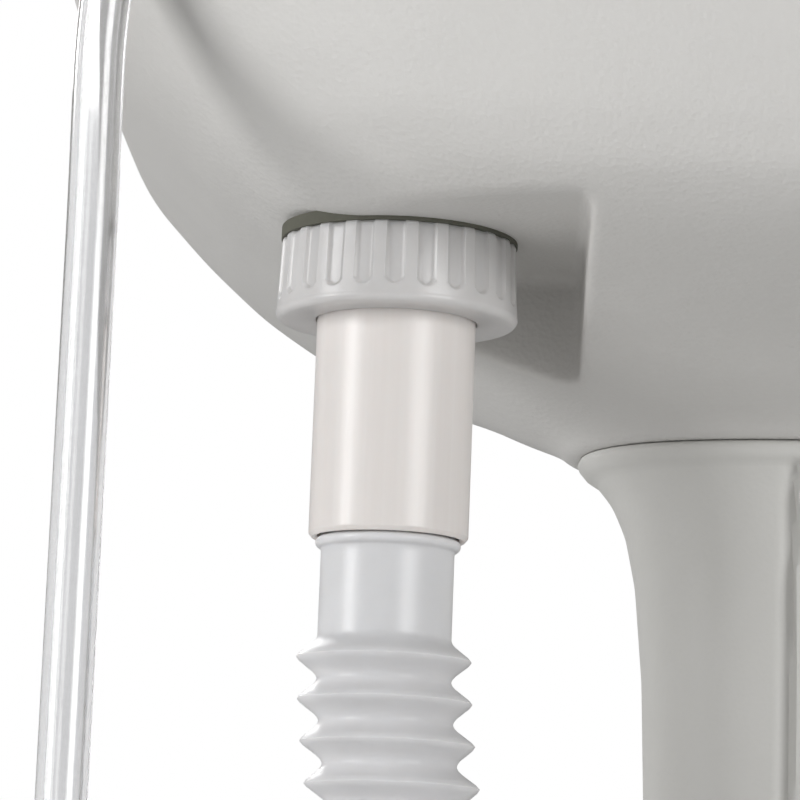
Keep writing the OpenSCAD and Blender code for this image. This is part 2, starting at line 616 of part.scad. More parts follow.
module hose_seal() color([0.2, 0.2, 0.2]) translate([drain[0], drain[1], nut_z - 20])
  ring(pipe_id / 2 - 0.02, neck_od / 2 + 0.02, 8);

// drain hose centre line: straight down from the tailpipe, in towards the column, down to the deck
bend_end = bend_z - 0.5 * (bend_z - deck_h);
hose_end = deck_h + 24;
hose_line = [for (i = [0:30]) let (
    z = bend_z + 2 - (bend_z + 2 - hose_end) * i / 30,
    s = smooth((bend_z - z) / (bend_z - bend_end)))
  [drain[0] + (inlet[0] - drain[0]) * s, drain[1] + (inlet[1] - drain[1]) * s, z]];

module drain_hose() color([0.87, 0.87, 0.85]) {
  translate([drain[0], drain[1], bend_z]) ring(neck_od / 2, neck_id / 2, hose_top_z - bend_z);
  translate([drain[0], drain[1], bead_z - 1]) ring(pipe_id / 2 + 0.3, neck_id / 2, 2);
  hose(hose_line, hose_od / 2, neck_id / 2 - 0.2, 16);
  translate([inlet[0], inlet[1], deck_h - 14]) ring(neck_od / 2, neck_id / 2, hose_end + 2 - deck_h + 14);
}

// ---- clear supply hose ----

module supply_hose() color([0.85, 0.88, 0.88, 0.6])
  hose(smooth_line(riser_route, 3), tube_od / 2, tube_id / 2 / cos(15) + 0.03, 12);

module hose_clamps() color([0.75, 0.75, 0.75]) {
  translate([barb[0], barb[1], deck_h + 9]) clamp_band();
  translate([faucet[0], faucet[1], hang_z + 109]) clamp_band();
}
module clamp_band() {
  ring(tube_od / 2 + 0.9, tube_od / 2 + 0.05, 6);
  translate([tube_od / 2 + 0.85, -2, 0]) cube([5, 4, 6]);
}

// ---- faucet ----

spout_r = 58;
spout_d = 16;
spout_top = rim_h + 104;
spout_turn = -105;
module at_faucet() translate([faucet[0], faucet[1], 0]) children();

module faucet_body() color([0.83, 0.84, 0.86]) at_faucet() difference() {
  union() {
    translate([0, 0, rim_h + eps]) cylinder(d1 = 46, d2 = 42, h = 5);
    translate([0, 0, rim_h + 5]) cylinder(d = 27, h = 20);
    translate([0, 0, hang_z + 121]) cylinder(d = 20, h = rim_h + 1 - hang_z - 121);
    translate([0, 0, hang_z + 104]) cylinder(d = tube_id - 2 * fit, h = 18);
  }
  translate([0, 0, hang_z + 100]) cylinder(d = tube_id - 3, h = 80);
  translate([0, 0, rim_h - 4]) cylinder(d = spout_d + 2 * fit, h = 40);
}

module faucet_washer() color([0.12, 0.12, 0.12]) at_faucet()
  translate([0, 0, rim_h - deck_t - 2.05]) ring(17, 10.1, 2);

module faucet_nut() color([0.8, 0.76, 0.55]) at_faucet() translate([0, 0, rim_h - deck_t - 9.1])
  difference() {
    cylinder(d = 32, h = 7, $fn = 6);
    translate([0, 0, -1]) cylinder(d = 20 + 2 * fit, h = 10);
  }

module spout() color([0.83, 0.84, 0.86]) at_faucet() rotate(spout_turn) difference() {
  union() {
    translate([0, 0, rim_h - 3]) cylinder(d = spout_d, h = spout_top - rim_h + 3);
    translate([0, 0, rim_h + 25.3]) cylinder(d1 = 25, d2 = 20, h = 10);
    translate([spout_r, 0, spout_top]) rotate([90, 0, 0]) rotate_extrude(angle = 180)
      translate([spout_r, 0]) circle(d = spout_d);
    translate([2 * spout_r, 0, spout_top - 14]) cylinder(d = spout_d, h = 14);
  }
  translate([0, 0, rim_h - 4]) cylinder(d = spout_d - 4, h = spout_top - rim_h + 4);
  translate([spout_r, 0, spout_top]) rotate([90, 0, 0]) rotate_extrude(angle = 180)
    translate([spout_r, 0]) circle(d = spout_d - 4);
  translate([2 * spout_r, 0, spout_top - 15]) cylinder(d = spout_d - 4, h = 15);
  translate([0, 0, rim_h + 3]) ring(20, spout_d / 2 - 1.4, 2.4);
}

module spout_ring() color([0.1, 0.1, 0.1]) at_faucet() translate([0, 0, rim_h + 3.1])
  ring(spout_d / 2 + 0.02, spout_d / 2 - 1.35, 2.2);

module aerator() color([0.8, 0.81, 0.83]) at_faucet() rotate(spout_turn)
  translate([2 * spout_r, 0, spout_top - 24]) difference() {
    cylinder(d = 21, h = 18);
    translate([0, 0, 8]) cylinder(d = spout_d + 2 * fit, h = 20);
    translate([0, 0, 2.5]) cylinder(d = spout_d - 2, h = 10);
    for (a = [0:60:300]) rotate(a) translate([5, 0, -1]) cylinder(d = 2, h = 5);
    translate([0, 0, -1]) cylinder(d = 2, h = 5);
  }

// ---- soap dispenser ----

soap_h = 104;
module stadium(w, d) {
  square([w - d, d], center = true);
  for (s = [-1, 1]) translate([s * (w - d) / 2, 0]) circle(d = d);
}
module at_soap() translate([soap[0], soap[1], rim_h + 0.05]) children();

module soap_bottle() color([0.93, 0.93, 0.92]) at_soap() difference() {
  union() {
    linear_extrude(soap_h) stadium(66, 38);
    translate([0, 0, soap_h - eps]) cylinder(d1 = 34, d2 = 24, h = 5);
    translate([0, 0, soap_h + 4]) cylinder(d = 22, h = 13);
  }
  translate([0, 0, 2]) linear_extrude(soap_h - 4) stadium(62, 34);
  translate([0, 0, soap_h - 10]) cylinder(d = 17, h = 40);
}

module soap_collar() color([0.9, 0.9, 0.9]) at_soap() translate([0, 0, soap_h + 5.4]) difference() {
  union() {
    cylinder(d = 28, h = 14);
    translate([0, 0, 14]) cylinder(d = 16, h = 5);
    translate([0, 0, -16]) cylinder(d = 14, h = 20);
  }
  translate([0, 0, -1]) ring(11 + fit, 7, 13);
  translate([0, 0, -14]) cylinder(d = 10.2, h = 24);
  translate([0, 0, -20]) cylinder(d = 5 + 2 * fit, h = 20);
  translate([0, 0, 5]) cylinder(d = 7 + 2 * fit, h = 30);
}

soap_top = soap_h + 24.4;
module soap_head() color([0.9, 0.9, 0.9]) at_soap() rotate(-90) difference() {
  union() {
    translate([0, 0, soap_top - 15]) cylinder(d = 7, h = 30);
    translate([0, 0, soap_top - 15]) cylinder(d = 10, h = 3);
    translate([0, 0, soap_top + 12]) cylinder(d1 = 20, d2 = 16, h = 10);
    translate([0, 0, soap_top + 17]) rotate([0, 96, 0]) cylinder(d1 = 9, d2 = 7, h = 42);
  }
  translate([0, 0, soap_top - 16]) cylinder(d = 3, h = 32);
  translate([0, 0, soap_top + 17]) rotate([0, 96, 0]) cylinder(d = 3, h = 50);
}

module soap_spring() color([0.75, 0.75, 0.77]) at_soap() translate([0, 0, soap_h - 8.3])
  spring(3.9, 0.8, 17.5, 5);

module soap_tube() color([0.92, 0.93, 0.93]) at_soap() translate([0, 0, 5]) ring(2.5, 1.6, soap_h - 14.1);

base_tank();
front_feet();
axle();
axle_caps();
wheel_left();
wheel_right();
filler_cap();
filler_gasket();
waste_cap();
waste_gasket();
waste_grommet();
pump_housing();
pump_gasket();
pump_screws();
pump_pedal();
pump_piston();
piston_seal();
pump_spring();
pump_gaiter();
inlet_valve();
outlet_valve();
suction_strainer();
feed_pipe();
deck_barb();
column();
column_foot_screws();
column_top_screws();
basin_shell();
basin_bowl();
shell_screws();
drain_body();
bowl_gasket();
strainer();
pad_gasket();
drain_nut();
slip_washer();
tailpipe();
hose_seal();
drain_hose();
supply_hose();
hose_clamps();
faucet_body();
faucet_washer();
faucet_nut();
spout();
spout_ring();
aerator();
soap_bottle();
soap_collar();
soap_head();
soap_spring();
soap_tube();
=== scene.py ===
from math import cos, pi, radians, sin, tan, tau

import bpy
import numpy as np
from mathutils import Euler, Matrix, Vector


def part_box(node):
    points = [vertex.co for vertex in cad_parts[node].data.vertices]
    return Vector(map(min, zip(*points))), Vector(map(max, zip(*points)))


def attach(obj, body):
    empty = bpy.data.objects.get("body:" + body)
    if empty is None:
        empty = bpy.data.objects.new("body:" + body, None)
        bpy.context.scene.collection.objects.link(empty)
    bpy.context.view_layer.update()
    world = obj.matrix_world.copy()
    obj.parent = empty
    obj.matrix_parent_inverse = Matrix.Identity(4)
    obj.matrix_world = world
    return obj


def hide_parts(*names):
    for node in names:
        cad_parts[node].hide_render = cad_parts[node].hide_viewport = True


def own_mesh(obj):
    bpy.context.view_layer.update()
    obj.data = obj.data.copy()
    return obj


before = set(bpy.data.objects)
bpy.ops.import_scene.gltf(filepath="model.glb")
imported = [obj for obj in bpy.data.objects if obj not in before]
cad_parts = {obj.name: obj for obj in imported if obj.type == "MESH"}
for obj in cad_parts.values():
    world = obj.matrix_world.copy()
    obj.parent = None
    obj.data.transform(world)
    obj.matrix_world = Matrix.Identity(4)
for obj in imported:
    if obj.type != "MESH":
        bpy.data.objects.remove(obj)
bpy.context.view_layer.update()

mm = 0.001

# ---- Camera and studio ----
# The camera stands a metre behind the sink, below the basin, and looks up through a long lens at the drain
# in the basin's rear corner. It leans a little to one side.


def middle(node):
    """The centre of a CAD node's box."""
    low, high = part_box(node)
    return (low + high) / 2


drain = middle("drain_nut")
nut_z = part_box("drain_nut")[0].z
pad_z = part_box("pad_gasket")[1].z - 1.97 * mm
hang_z = pad_z - 14.5 * mm
camera_left, camera_back, camera_down = 26.5 * mm, 891 * mm, 195.8 * mm
look_up, look_aside, lean = radians(9.85), radians(1.6), radians(2.2)
bpy.ops.object.select_all(action="DESELECT")
bpy.ops.object.camera_add(location=(drain.x - camera_left, drain.y + camera_back, pad_z - camera_down))
camera = bpy.context.object
facing = Euler((pi / 2 + look_up, 0, pi + look_aside)).to_matrix()
camera.rotation_euler = (facing @ Matrix.Rotation(lean, 3, "Z")).to_euler()
camera.data.lens = 162
camera.data.clip_start = 5 * mm
bpy.context.scene.camera = camera
bpy.context.scene.view_settings.view_transform = "Standard"

world = bpy.data.worlds.new("studio")
bpy.context.scene.world = world
world.use_nodes = True
nodes, links = world.node_tree.nodes, world.node_tree.links
fill, seen = nodes["Background"], nodes.new("ShaderNodeBackground")
for background, strength in ((fill, 0.17), (seen, 1.0)):
    background.inputs["Color"].default_value = (1, 1, 1, 1)
    background.inputs["Strength"].default_value = strength
rays = nodes.new("ShaderNodeLightPath")
choose = nodes.new("ShaderNodeMixShader")
through = nodes.new("ShaderNodeMath")
through.operation = "MAXIMUM"
links.new(rays.outputs["Is Camera Ray"], through.inputs[0])
links.new(rays.outputs["Is Transmission Ray"], through.inputs[1])
links.new(through.outputs[0], choose.inputs["Fac"])
links.new(fill.outputs[0], choose.inputs[1])
links.new(seen.outputs[0], choose.inputs[2])
links.new(choose.outputs[0], nodes["World Output"].inputs["Surface"])


def soft_box(name, place, aim, size, power):
    """A square studio light at place that faces aim."""
    bpy.ops.object.light_add(type="AREA", location=place)
    lamp = bpy.context.object
    lamp.name = name
    lamp.rotation_euler = (Vector(aim) - Vector(place)).to_track_quat("-Z", "Y").to_euler()
    lamp.data.size = size
    lamp.data.energy = power


soft_box("key", (2.0, 1.2, 1.05), (0, 0, 0.7), 1.1, 33)
soft_box("side", (-1.5, 2.0, 1.0), (0, 0, 0.7), 1.1, 27)
soft_box("front", (0.6, -2.4, 2.2), (0, 0, 0.6), 1.6, 30)

bpy.ops.mesh.primitive_plane_add(size=9, location=(0, 0, -0.5 * mm))
floor = bpy.context.object
floor.name = "floor"
paper = bpy.data.materials.new("floor_paper")
paper.use_nodes = True
matt = paper.node_tree.nodes["Principled BSDF"]
matt.inputs["Base Color"].default_value = (0.78, 0.78, 0.78, 1)
matt.inputs["Roughness"].default_value = 0.9
floor.data.materials.append(paper)


# ---- Basin casing ----
# The casing is the lower shell of the basin, blow-moulded in light grey polyethylene with a leather grain.
# It flares from a small oval flange on the column to the basin's full width, and a recess for the drain
# fittings is moulded into its rear corner. Four screws hold it inside the bowl's skirt.

class Wire:
    """One output of a shader node. Sums and products of wires and numbers add Math nodes."""

    def __init__(self, tree, socket):
        self.tree = tree
        self.socket = socket

    def node(self, kind, settings, inputs, out=0):
        """Adds a node, sets it up, fills or links its sockets and hands back one of its outputs."""
        made = self.tree.nodes.new("ShaderNode" + kind)
        for key, value in settings.items():
            if key == "stops":
                for stop, (place, shade) in zip(made.color_ramp.elements, value):
                    stop.position = place
                    stop.color = (shade, shade, shade, 1)
            else:
                setattr(made, key, value)
        for key, value in inputs.items():
            if isinstance(value, Wire):
                self.tree.links.new(value.socket, made.inputs[key])
            else:
                made.inputs[key].default_value = value
        return Wire(self.tree, made.outputs[out]) if made.outputs else None

    def maths(self, operation, *values):
        return self.node("Math", {"operation": operation}, dict(enumerate(values)))

    def __add__(self, other):
        return self.maths("ADD", self, other)

    def __sub__(self, other):
        return self.maths("SUBTRACT", self, other)

    def __rsub__(self, other):
        return self.maths("SUBTRACT", other, self)

    def __mul__(self, other):
        return self.maths("MULTIPLY", self, other)

    __radd__ = __add__
    __rmul__ = __mul__

    def noise(self, size, detail=3):
        """Smooth random values from 0 to 1 in lumps of about this size."""
        return self.node("TexNoise", {}, {"Vector": self, "Scale": 1 / size, "Detail": detail})

    def between(self, low, high, factor):
        """A colour that runs from low to high with the factor."""
        colours = {6: (*low, 1), 7: (*high, 1), 0: factor}
        return self.node("Mix", {"data_type": "RGBA"}, colours, 2)

    def ramp(self, low, high):
        """This value stretched so that low becomes 0 and high becomes 1."""
        return self.node("MapRange", {}, {"Value": self, "From Min": low, "From Max": high})

    def bump(self, height, depth, strength=1.0):
        """A normal roughened by a height from 0 to 1 over this depth."""
        return self.node("Bump", {}, {"Height": height, "Distance": depth, "Strength": strength})

    def surface(self, **inputs):
        """Closes the material with one principled surface."""
        named = {key.replace("_", " "): value for key, value in inputs.items()}
        shader = self.node("BsdfPrincipled", {}, named)
        self.node("OutputMaterial", {}, {"Surface": shader})


def coating(name):
    """A new material, and the wire that carries each point's place on the object."""
    material = bpy.data.materials.new(name)
    material.use_nodes = True
    tree = material.node_tree
    tree.nodes.clear()
    start = Wire(tree, None)
    return material, start.node("TexCoord", {}, {}, "Object")


def polyethylene(name, light, dark, grain=1.5 * mm, depth=0.09 * mm):
    """Blow-moulded polyethylene: a satin wall with a leather grain and faint clouding."""
    material, at = coating(name)
    cells = at.node(
        "TexVoronoi", {"feature": "SMOOTH_F1"}, {"Vector": at, "Scale": 1 / grain, "Smoothness": 0.5}
    )
    pores = at.noise(0.55 * grain)
    cloud = at.noise(70 * mm, 5)
    scuffs = at.noise(9 * mm, 8).ramp(0.62, 0.74)
    at.surface(
        Base_Color=at.between(dark, light, cloud.ramp(0.3, 0.65) * 0.85 + cells * 0.15),
        Roughness=0.4 + pores * 0.12 + scuffs * 0.1,
        Normal=at.bump(cells * 0.65 + pores * 0.35, depth),
        Specular_IOR_Level=0.42,
        Subsurface_Weight=0.06,
        Subsurface_Radius=(3 * mm, 3 * mm, 2.6 * mm),
        Subsurface_Scale=1.0,
    )
    return material


def hardened(piece, kind, **settings):
    """Adds one modifier to a piece, sets it up and applies it."""
    step = piece.modifiers.new(kind.title(), kind)
    for key, value in settings.items():
        setattr(step, key, value)
    bpy.context.view_layer.objects.active = piece
    bpy.ops.object.modifier_apply(modifier=step.name)


def drilled(piece, *bores, turned_by=(0, 0, 0)):
    """Cuts round holes, each given by its x, y, radius, lowest and highest point, turned as one set."""
    for x, y, radius, low, high in bores:
        place_at = Euler(turned_by).to_matrix() @ Vector((x, y, (low + high) / 2))
        bpy.ops.mesh.primitive_cylinder_add(
            vertices=96, radius=radius, depth=high - low, location=place_at, rotation=turned_by
        )
        cutter = bpy.context.object
        hardened(piece, "BOOLEAN", operation="DIFFERENCE", object=cutter, solver="EXACT")
        bpy.data.objects.remove(cutter)


def edit(piece):
    """Opens a piece in edit mode with everything on it selected."""
    bpy.ops.object.select_all(action="DESELECT")
    piece.select_set(True)
    bpy.context.view_layer.objects.active = piece
    bpy.ops.object.mode_set(mode="EDIT")
    bpy.ops.mesh.select_all(action="SELECT")


def place(piece, material, slot, body="frame", stands_for=(), crease=35):
    """Gives a finished piece its surface and its body, and hides the CAD nodes that it stands for."""
    edit(piece)
    bpy.ops.object.mode_set(mode="OBJECT")
    bpy.ops.object.transform_apply(location=True, rotation=True, scale=True)
    bpy.ops.object.shade_smooth_by_angle(angle=radians(crease))
    piece.data.materials.clear()
    piece.data.materials.append(material)
    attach(piece, body)
    if stands_for:
        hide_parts(*stands_for)


def eased(heights, values, reach=7 * mm):
    """A smooth line through values at the given heights, as a function of height."""
    step = 0.5 * mm
    fine = np.arange(heights[0], heights[-1] + step, step)
    count = int(reach / step)
    window = np.hanning(2 * count + 3)[1:-1]
    line = np.pad(np.interp(fine, heights, values), count, "reflect", reflect_type="odd")
    line = np.convolve(line, window / window.sum(), "valid")
    return lambda z: np.interp(z, fine, line)


def flared(rows, origin_z):
    """How far a point lies outside an oval wall. Its rows give height, half width, half depth, power."""
    heights = [origin_z + row[0] for row in rows]
    half_x, half_y, power = (eased(heights, [row[i] for row in rows]) for i in (1, 2, 3))

    def level(x, y, z):
        n = power(z)
        return ((abs(x) / half_x(z)) ** n + (abs(y) / half_y(z)) ** n) ** (1 / n) - 1

    def outside(x, y, z):
        h = 0.1 * mm
        here = level(x, y, z)
        slope = [level(x + h, y, z) - here, level(x, y + h, z) - here, level(x, y, z + h) - here]
        return here / np.maximum(np.sqrt(sum(s * s for s in slope)) / h, 1e-3)

    return outside


def both(a, b, radius):
    """The space inside both a and b, with the edge where they meet rounded to a radius."""
    corner = np.sqrt(np.maximum(a + radius, 0) ** 2 + np.maximum(b + radius, 0) ** 2)
    return np.minimum(np.maximum(a, b), -radius) + corner


def settled(points, outside, passes):
    """Moves points along the slope of outside until they lie where it is nought."""
    h = 0.05 * mm
    for _ in range(passes):
        slope = np.stack([
            (outside(*(points + h * axis).T) - outside(*(points - h * axis).T)) / (2 * h)
            for axis in np.eye(3)
        ], 1)
        steep = np.maximum((slope ** 2).sum(1), 0.1)
        points = points - (outside(*points.T) / steep)[:, None] * slope
    return points


def lines(low, high, pitch, fine_low=0, fine_high=0, fine=None):
    """Grid lines from low to high, closer together over a stretch that has finer detail."""
    first, last = low - 2.5 * pitch, high + 2.5 * pitch
    spans = [(first, last, pitch)]
    if fine:
        spans = [(first, fine_low, pitch), (fine_low, fine_high, fine), (fine_high, last, pitch)]
    return np.unique(np.concatenate([
        np.linspace(a, b, max(2, round((b - a) / step) + 1)) for a, b, step in spans
    ]))


def moulded(name, grid, outside):
    """A closed skin of quads over the space where outside is below nought, on three sets of lines."""
    full = outside(*np.meshgrid(*grid, indexing="ij")) < 0
    cells = sum(
        full[i:full.shape[0] - 1 + i, j:full.shape[1] - 1 + j, k:full.shape[2] - 1 + k].astype(int)
        for i in (0, 1) for j in (0, 1) for k in (0, 1)
    )
    wall = np.argwhere((cells > 0) & (cells < 8))
    number = np.full(cells.shape, -1)
    number[tuple(wall.T)] = np.arange(len(wall))
    points = np.stack([(line[wall[:, i]] + line[wall[:, i] + 1]) / 2 for i, line in enumerate(grid)], 1)
    quads = []
    for axis in range(3):
        u, v = (axis + 1) % 3, (axis + 2) % 3
        ahead = np.moveaxis(full, axis, 0)
        crossing = np.moveaxis(ahead[1:] != ahead[:-1], 0, axis)
        at = np.argwhere(crossing)
        at = at[(at[:, u] > 0) & (at[:, v] > 0)]
        du, dv = np.eye(3, dtype=int)[u], np.eye(3, dtype=int)[v]
        ring = np.stack([number[tuple((at - c).T)] for c in (0 * du, du, du + dv, dv)], 1)
        ends = full[tuple(at.T)]
        quads.append(np.where(ends[:, None], ring, ring[:, ::-1]))
    quads = np.vstack(quads)
    points = settled(points, outside, 4)
    pairs = np.vstack([quads[:, [i, (i + 1) % 4]] for i in range(4)])
    for _ in range(3):
        total = np.zeros_like(points)
        np.add.at(total, pairs[:, 0], points[pairs[:, 1]])
        share = np.bincount(pairs[:, 0], minlength=len(points))[:, None]
        points = settled(points * 0.4 + total / share * 0.6, outside, 1)
    mesh = bpy.data.meshes.new(name)
    mesh.from_pydata(settled(points, outside, 2).tolist(), [], quads.tolist())
    piece = bpy.data.objects.new(name, mesh)
    bpy.context.scene.collection.objects.link(piece)
    return piece


rim_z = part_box("basin_bowl")[1].z
flange_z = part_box("column")[1].z + 0.3 * mm
half_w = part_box("basin_bowl")[1].x
half_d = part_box("basin_bowl")[1].y
casing_rows = [
    (-20 * mm, 74 * mm, 51 * mm, 2.3), (0, 75 * mm, 52 * mm, 2.3), (2.6 * mm, 76.5 * mm, 53.5 * mm, 2.3),
] + [(z * mm, wide * half_w, deep * half_d, power) for z, wide, deep, power in (
    (8, 0.395, 0.357, 2.6), (17, 0.458, 0.49, 3), (26, 0.534, 0.633, 3.5), (35, 0.61, 0.765, 3.9),
    (44, 0.68, 0.842, 4.1), (56, 0.754, 0.883, 4.3), (71, 0.825, 0.913, 4.4), (88, 0.893, 0.939, 4.5),
    (106, 0.925, 0.959, 4.6), (131, 0.954, 0.974, 4.8), (158, 0.974, 0.985, 5), (200, 0.974, 0.985, 5),
)]
casing_wall = flared(casing_rows, flange_z)
recess_x = drain.x - 47 * mm
recess_y = drain.y - 36 * mm
casing_top = rim_z - 8 * mm


def casing_outside(x, y, z):
    wall = both(casing_wall(x, y, z), flange_z - z, 1.6 * mm)
    recess = both(both(recess_x - x, recess_y - y, 7 * mm), z - pad_z + 0.4 * mm, 3.5 * mm)
    return both(both(wall, -recess, 1.5 * mm), z - casing_top - 12 * mm, 3 * mm)


casing = moulded("basin_casing", [
    lines(-half_w, half_w, 5.5 * mm, recess_x - 12 * mm, half_w - 24 * mm, 1.7 * mm),
    lines(-half_d, half_d, 5.5 * mm, recess_y - 12 * mm, half_d - 10 * mm, 1.7 * mm),
    lines(flange_z - 9 * mm, casing_top + 12 * mm, 5.5 * mm, flange_z - 5 * mm, pad_z + 6 * mm, 1.3 * mm),
], casing_outside)
edit(casing)
bpy.ops.mesh.bisect(plane_co=(0, 0, casing_top), plane_no=(0, 0, 1), clear_outer=True)
bpy.ops.object.mode_set(mode="OBJECT")
hardened(casing, "SOLIDIFY", thickness=3 * mm, offset=-1)
drain_hole_r = 25.6 * mm
drilled(casing, (drain.x, drain.y, drain_hole_r, pad_z - 9 * mm, pad_z + 9 * mm))
casing_grey = polyethylene("casing_polyethylene", (0.67, 0.66, 0.64), (0.63, 0.62, 0.60), depth=0.16 * mm)
place(casing, casing_grey, "grey_hdpe", stands_for=["basin_shell"])


# ---- Column ----
# The column is one hollow blow-moulding that carries the basin on the tank. It flares at both ends, and
# shallow panels are sunk into it between a plain band under the flange and an upright rib, front and back.

def skin(name, rings, loop=False, capped=False):
    """A mesh through closed rings of points. loop joins the last ring to the first, as in a tube's wall."""
    rings = np.array(rings, float)
    rows, sides = rings.shape[:2]
    number = np.arange(rows * sides).reshape(rows, sides)
    order = np.vstack([number, number[:1]]) if loop else number
    a, b = order[:-1], order[1:]
    faces = np.stack([a, np.roll(a, -1, 1), np.roll(b, -1, 1), b], -1).reshape(-1, 4).tolist()
    if capped:
        faces += [number[0][::-1].tolist(), number[-1].tolist()]
    mesh = bpy.data.meshes.new(name)
    mesh.from_pydata(rings.reshape(-1, 3).tolist(), [], faces)
    piece = bpy.data.objects.new(name, mesh)
    bpy.context.scene.collection.objects.link(piece)
    edit(piece)
    bpy.ops.mesh.normals_make_consistent(inside=False)
    bpy.ops.object.mode_set(mode="OBJECT")
    return piece


def oval(half_x, half_y, power, turn):
    """Points of a superellipse at these angles, as x and y."""
    x = half_x * np.sign(np.cos(turn)) * abs(np.cos(turn)) ** (2 / power)
    y = half_y * np.sign(np.sin(turn)) * abs(np.sin(turn)) ** (2 / power)
    return x, y


def level_ring(x, y, z):
    """A ring of points at one height."""
    return np.column_stack([x, y, x * 0 + z])


def step_up(value, start, end):
    """A soft step from 0 at start to 1 at end."""
    t = np.clip((value - start) / (end - start), 0, 1)
    return t * t * (3 - 2 * t)


foot_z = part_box("column")[0].z
column_w = 106 * mm
column_d = 86 * mm
top_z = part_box("column")[1].z
foot_flare = [(0, 26, 18), (5, 26, 18), (9, 14, 10), (20, 6, 5), (46, 2, 2)]
top_flare = [
    (-200, 0, 0), (-110, 0.5, 0), (-60, 2.5, 1), (-34, 5, 2), (-20, 8, 3.5), (-11, 12, 5.5), (-5, 17, 7.5),
    (0, 21.4, 8.6),
]
heights = [foot_z + row[0] * mm for row in foot_flare] + [top_z + row[0] * mm for row in top_flare]
grow_x, grow_y = (eased(heights, [row[i] * mm for row in foot_flare + top_flare], 4 * mm) for i in (1, 2))
turn = np.linspace(0, tau, 360, endpoint=False)
turn = turn + 0.11 * np.sin(4 * turn)
levels = np.concatenate([
    np.linspace(foot_z, foot_z + 60 * mm, 40), np.linspace(foot_z + 64 * mm, top_z - 70 * mm, 60),
    np.linspace(top_z - 67 * mm, top_z, 70),
])
corner_r = 1.6 * mm
rings = []
for z in levels:
    x, y = oval(column_w / 2 + grow_x(z), column_d / 2 + grow_y(z), 2.35, turn)
    upright = step_up(z, foot_z + 32 * mm, foot_z + 36 * mm)
    upright = upright * step_up(z, top_z - 4.2 * mm, top_z - 5.6 * mm)
    beside_rib = step_up(abs(x), 15.8 * mm, 17 * mm)
    sunk = 1.5 * mm * upright * beside_rib
    groove = 1.3 * mm * upright * beside_rib * step_up(abs(x), 21.4 * mm, 18 * mm)
    rise = 1.2 * mm * step_up(z, foot_z + 24 * mm, foot_z + 40 * mm)
    rise = rise * step_up(z, top_z - 2 * mm, top_z - 12 * mm) * (1 - beside_rib)
    size_x, size_y = abs(x).max(), abs(y).max()
    normal = np.stack([x / size_x ** 2, y / size_y ** 2], 1)
    normal /= np.linalg.norm(normal, axis=1)[:, None]
    edge = corner_r * (1 - min(1, (top_z - z) / corner_r, (z - foot_z) / corner_r) ** 0.5)
    shift = (rise - sunk - groove - edge)[:, None] * normal
    rings.append(level_ring(x + shift[:, 0], y + shift[:, 1], z))
column = skin("pedestal_column", rings, capped=True)
column_grey = polyethylene(
    "column_polyethylene", (0.66, 0.655, 0.63), (0.62, 0.615, 0.59), depth=0.05 * mm
)
place(column, column_grey, "grey_hdpe", stands_for=["column"], crease=50)


# ---- Drain nut ----
# A milky polypropylene nut clamps the drain under the recess. Its grip is a row of shallow flutes with
# round lower ends, open at the top, above a plain band with a rounded lower edge.

def circle(x, y, z, radius, turn):
    """A level round ring of points at these angles."""
    return level_ring(x + radius * np.cos(turn), y + radius * np.sin(turn), z)


def milky(name, light, dark, glow, roughness, depth=0.03 * mm):
    """Translucent moulded plastic that light soaks into, with faint flow marks."""
    material, at = coating(name)
    flow = at.noise(14 * mm, 4)
    skin_height = at.noise(0.7 * mm, 2)
    at.surface(
        Base_Color=at.between(dark, light, flow.ramp(0.3, 0.7)),
        Roughness=roughness + flow * 0.1,
        Normal=at.bump(skin_height, depth),
        Subsurface_Weight=glow,
        Subsurface_Radius=(6 * mm, 5.5 * mm, 5 * mm),
        Subsurface_Scale=1.0,
        Coat_Weight=0.15,
        Coat_Roughness=0.25,
    )
    return material


nut_low, nut_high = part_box("drain_nut")
nut_od = nut_high.x - nut_low.x
pipe_r = (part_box("tailpipe")[1].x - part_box("tailpipe")[0].x - 9.4 * mm) / 2
flutes = 24
turn = np.linspace(0, tau, flutes * 16, endpoint=False)
across = abs((turn * flutes / tau + 0.5) % 1 - 0.5) * tau / flutes * nut_od / 2
nut_h = nut_high.z - nut_low.z
flute_low = 0.2 * nut_h
flute_half = 2.5 * mm
flute_depth = 0.85 * mm
edge_r = 1.8 * mm
outline_rows = [
    (0.35 * mm, pipe_r + 0.4 * mm, 0), (0, pipe_r + 0.9 * mm, 0), (0, nut_od / 2 - 2.4 * mm, 0),
]
for a in np.linspace(0, pi / 2, 7):
    outline_rows.append((edge_r * (1 - cos(a)), nut_od / 2 - edge_r * (1 - sin(a)), 0))
for z in np.concatenate([
    np.linspace(2.2 * mm, flute_low + flute_half, 18),
    np.linspace(flute_low + 3 * mm, nut_h - 0.6 * mm, 12), [nut_h - 0.25 * mm, nut_h],
]):
    draft = 0.9 * mm * z / nut_h + 0.3 * mm * step_up(z, nut_h - 0.6 * mm, nut_h)
    outline_rows.append((z, nut_od / 2 - draft, 1))
rings = []
for z, radius, fluted in outline_rows:
    below = np.maximum(flute_low + flute_half - z, 0)
    reach = np.sqrt(across ** 2 + below ** 2)
    r = radius - fluted * flute_depth * step_up(reach, flute_half, flute_half - 0.7 * mm)
    rings.append(circle(drain.x, drain.y, nut_z + z, r, turn))
for z, radius in ((nut_h, 25.3 * mm), (4 * mm, 25.1 * mm), (3.6 * mm, pipe_r + 0.4 * mm)):
    rings.append(circle(drain.x, drain.y, nut_z + z, radius, turn))
nut = skin("drain_nut_fluted", rings, loop=True)
nut_milk = milky("milky_polypropylene", (0.66, 0.65, 0.645), (0.61, 0.6, 0.595), 0.4, 0.26)
place(nut, nut_milk, "milky_pp", stands_for=["drain_nut"], crease=38)


# ---- Tailpipe ----
# A short length of glossy cream PVC pipe hangs from the nut. Its cut end has a small chamfer, and the
# extruder has left faint upright lines in its gloss.

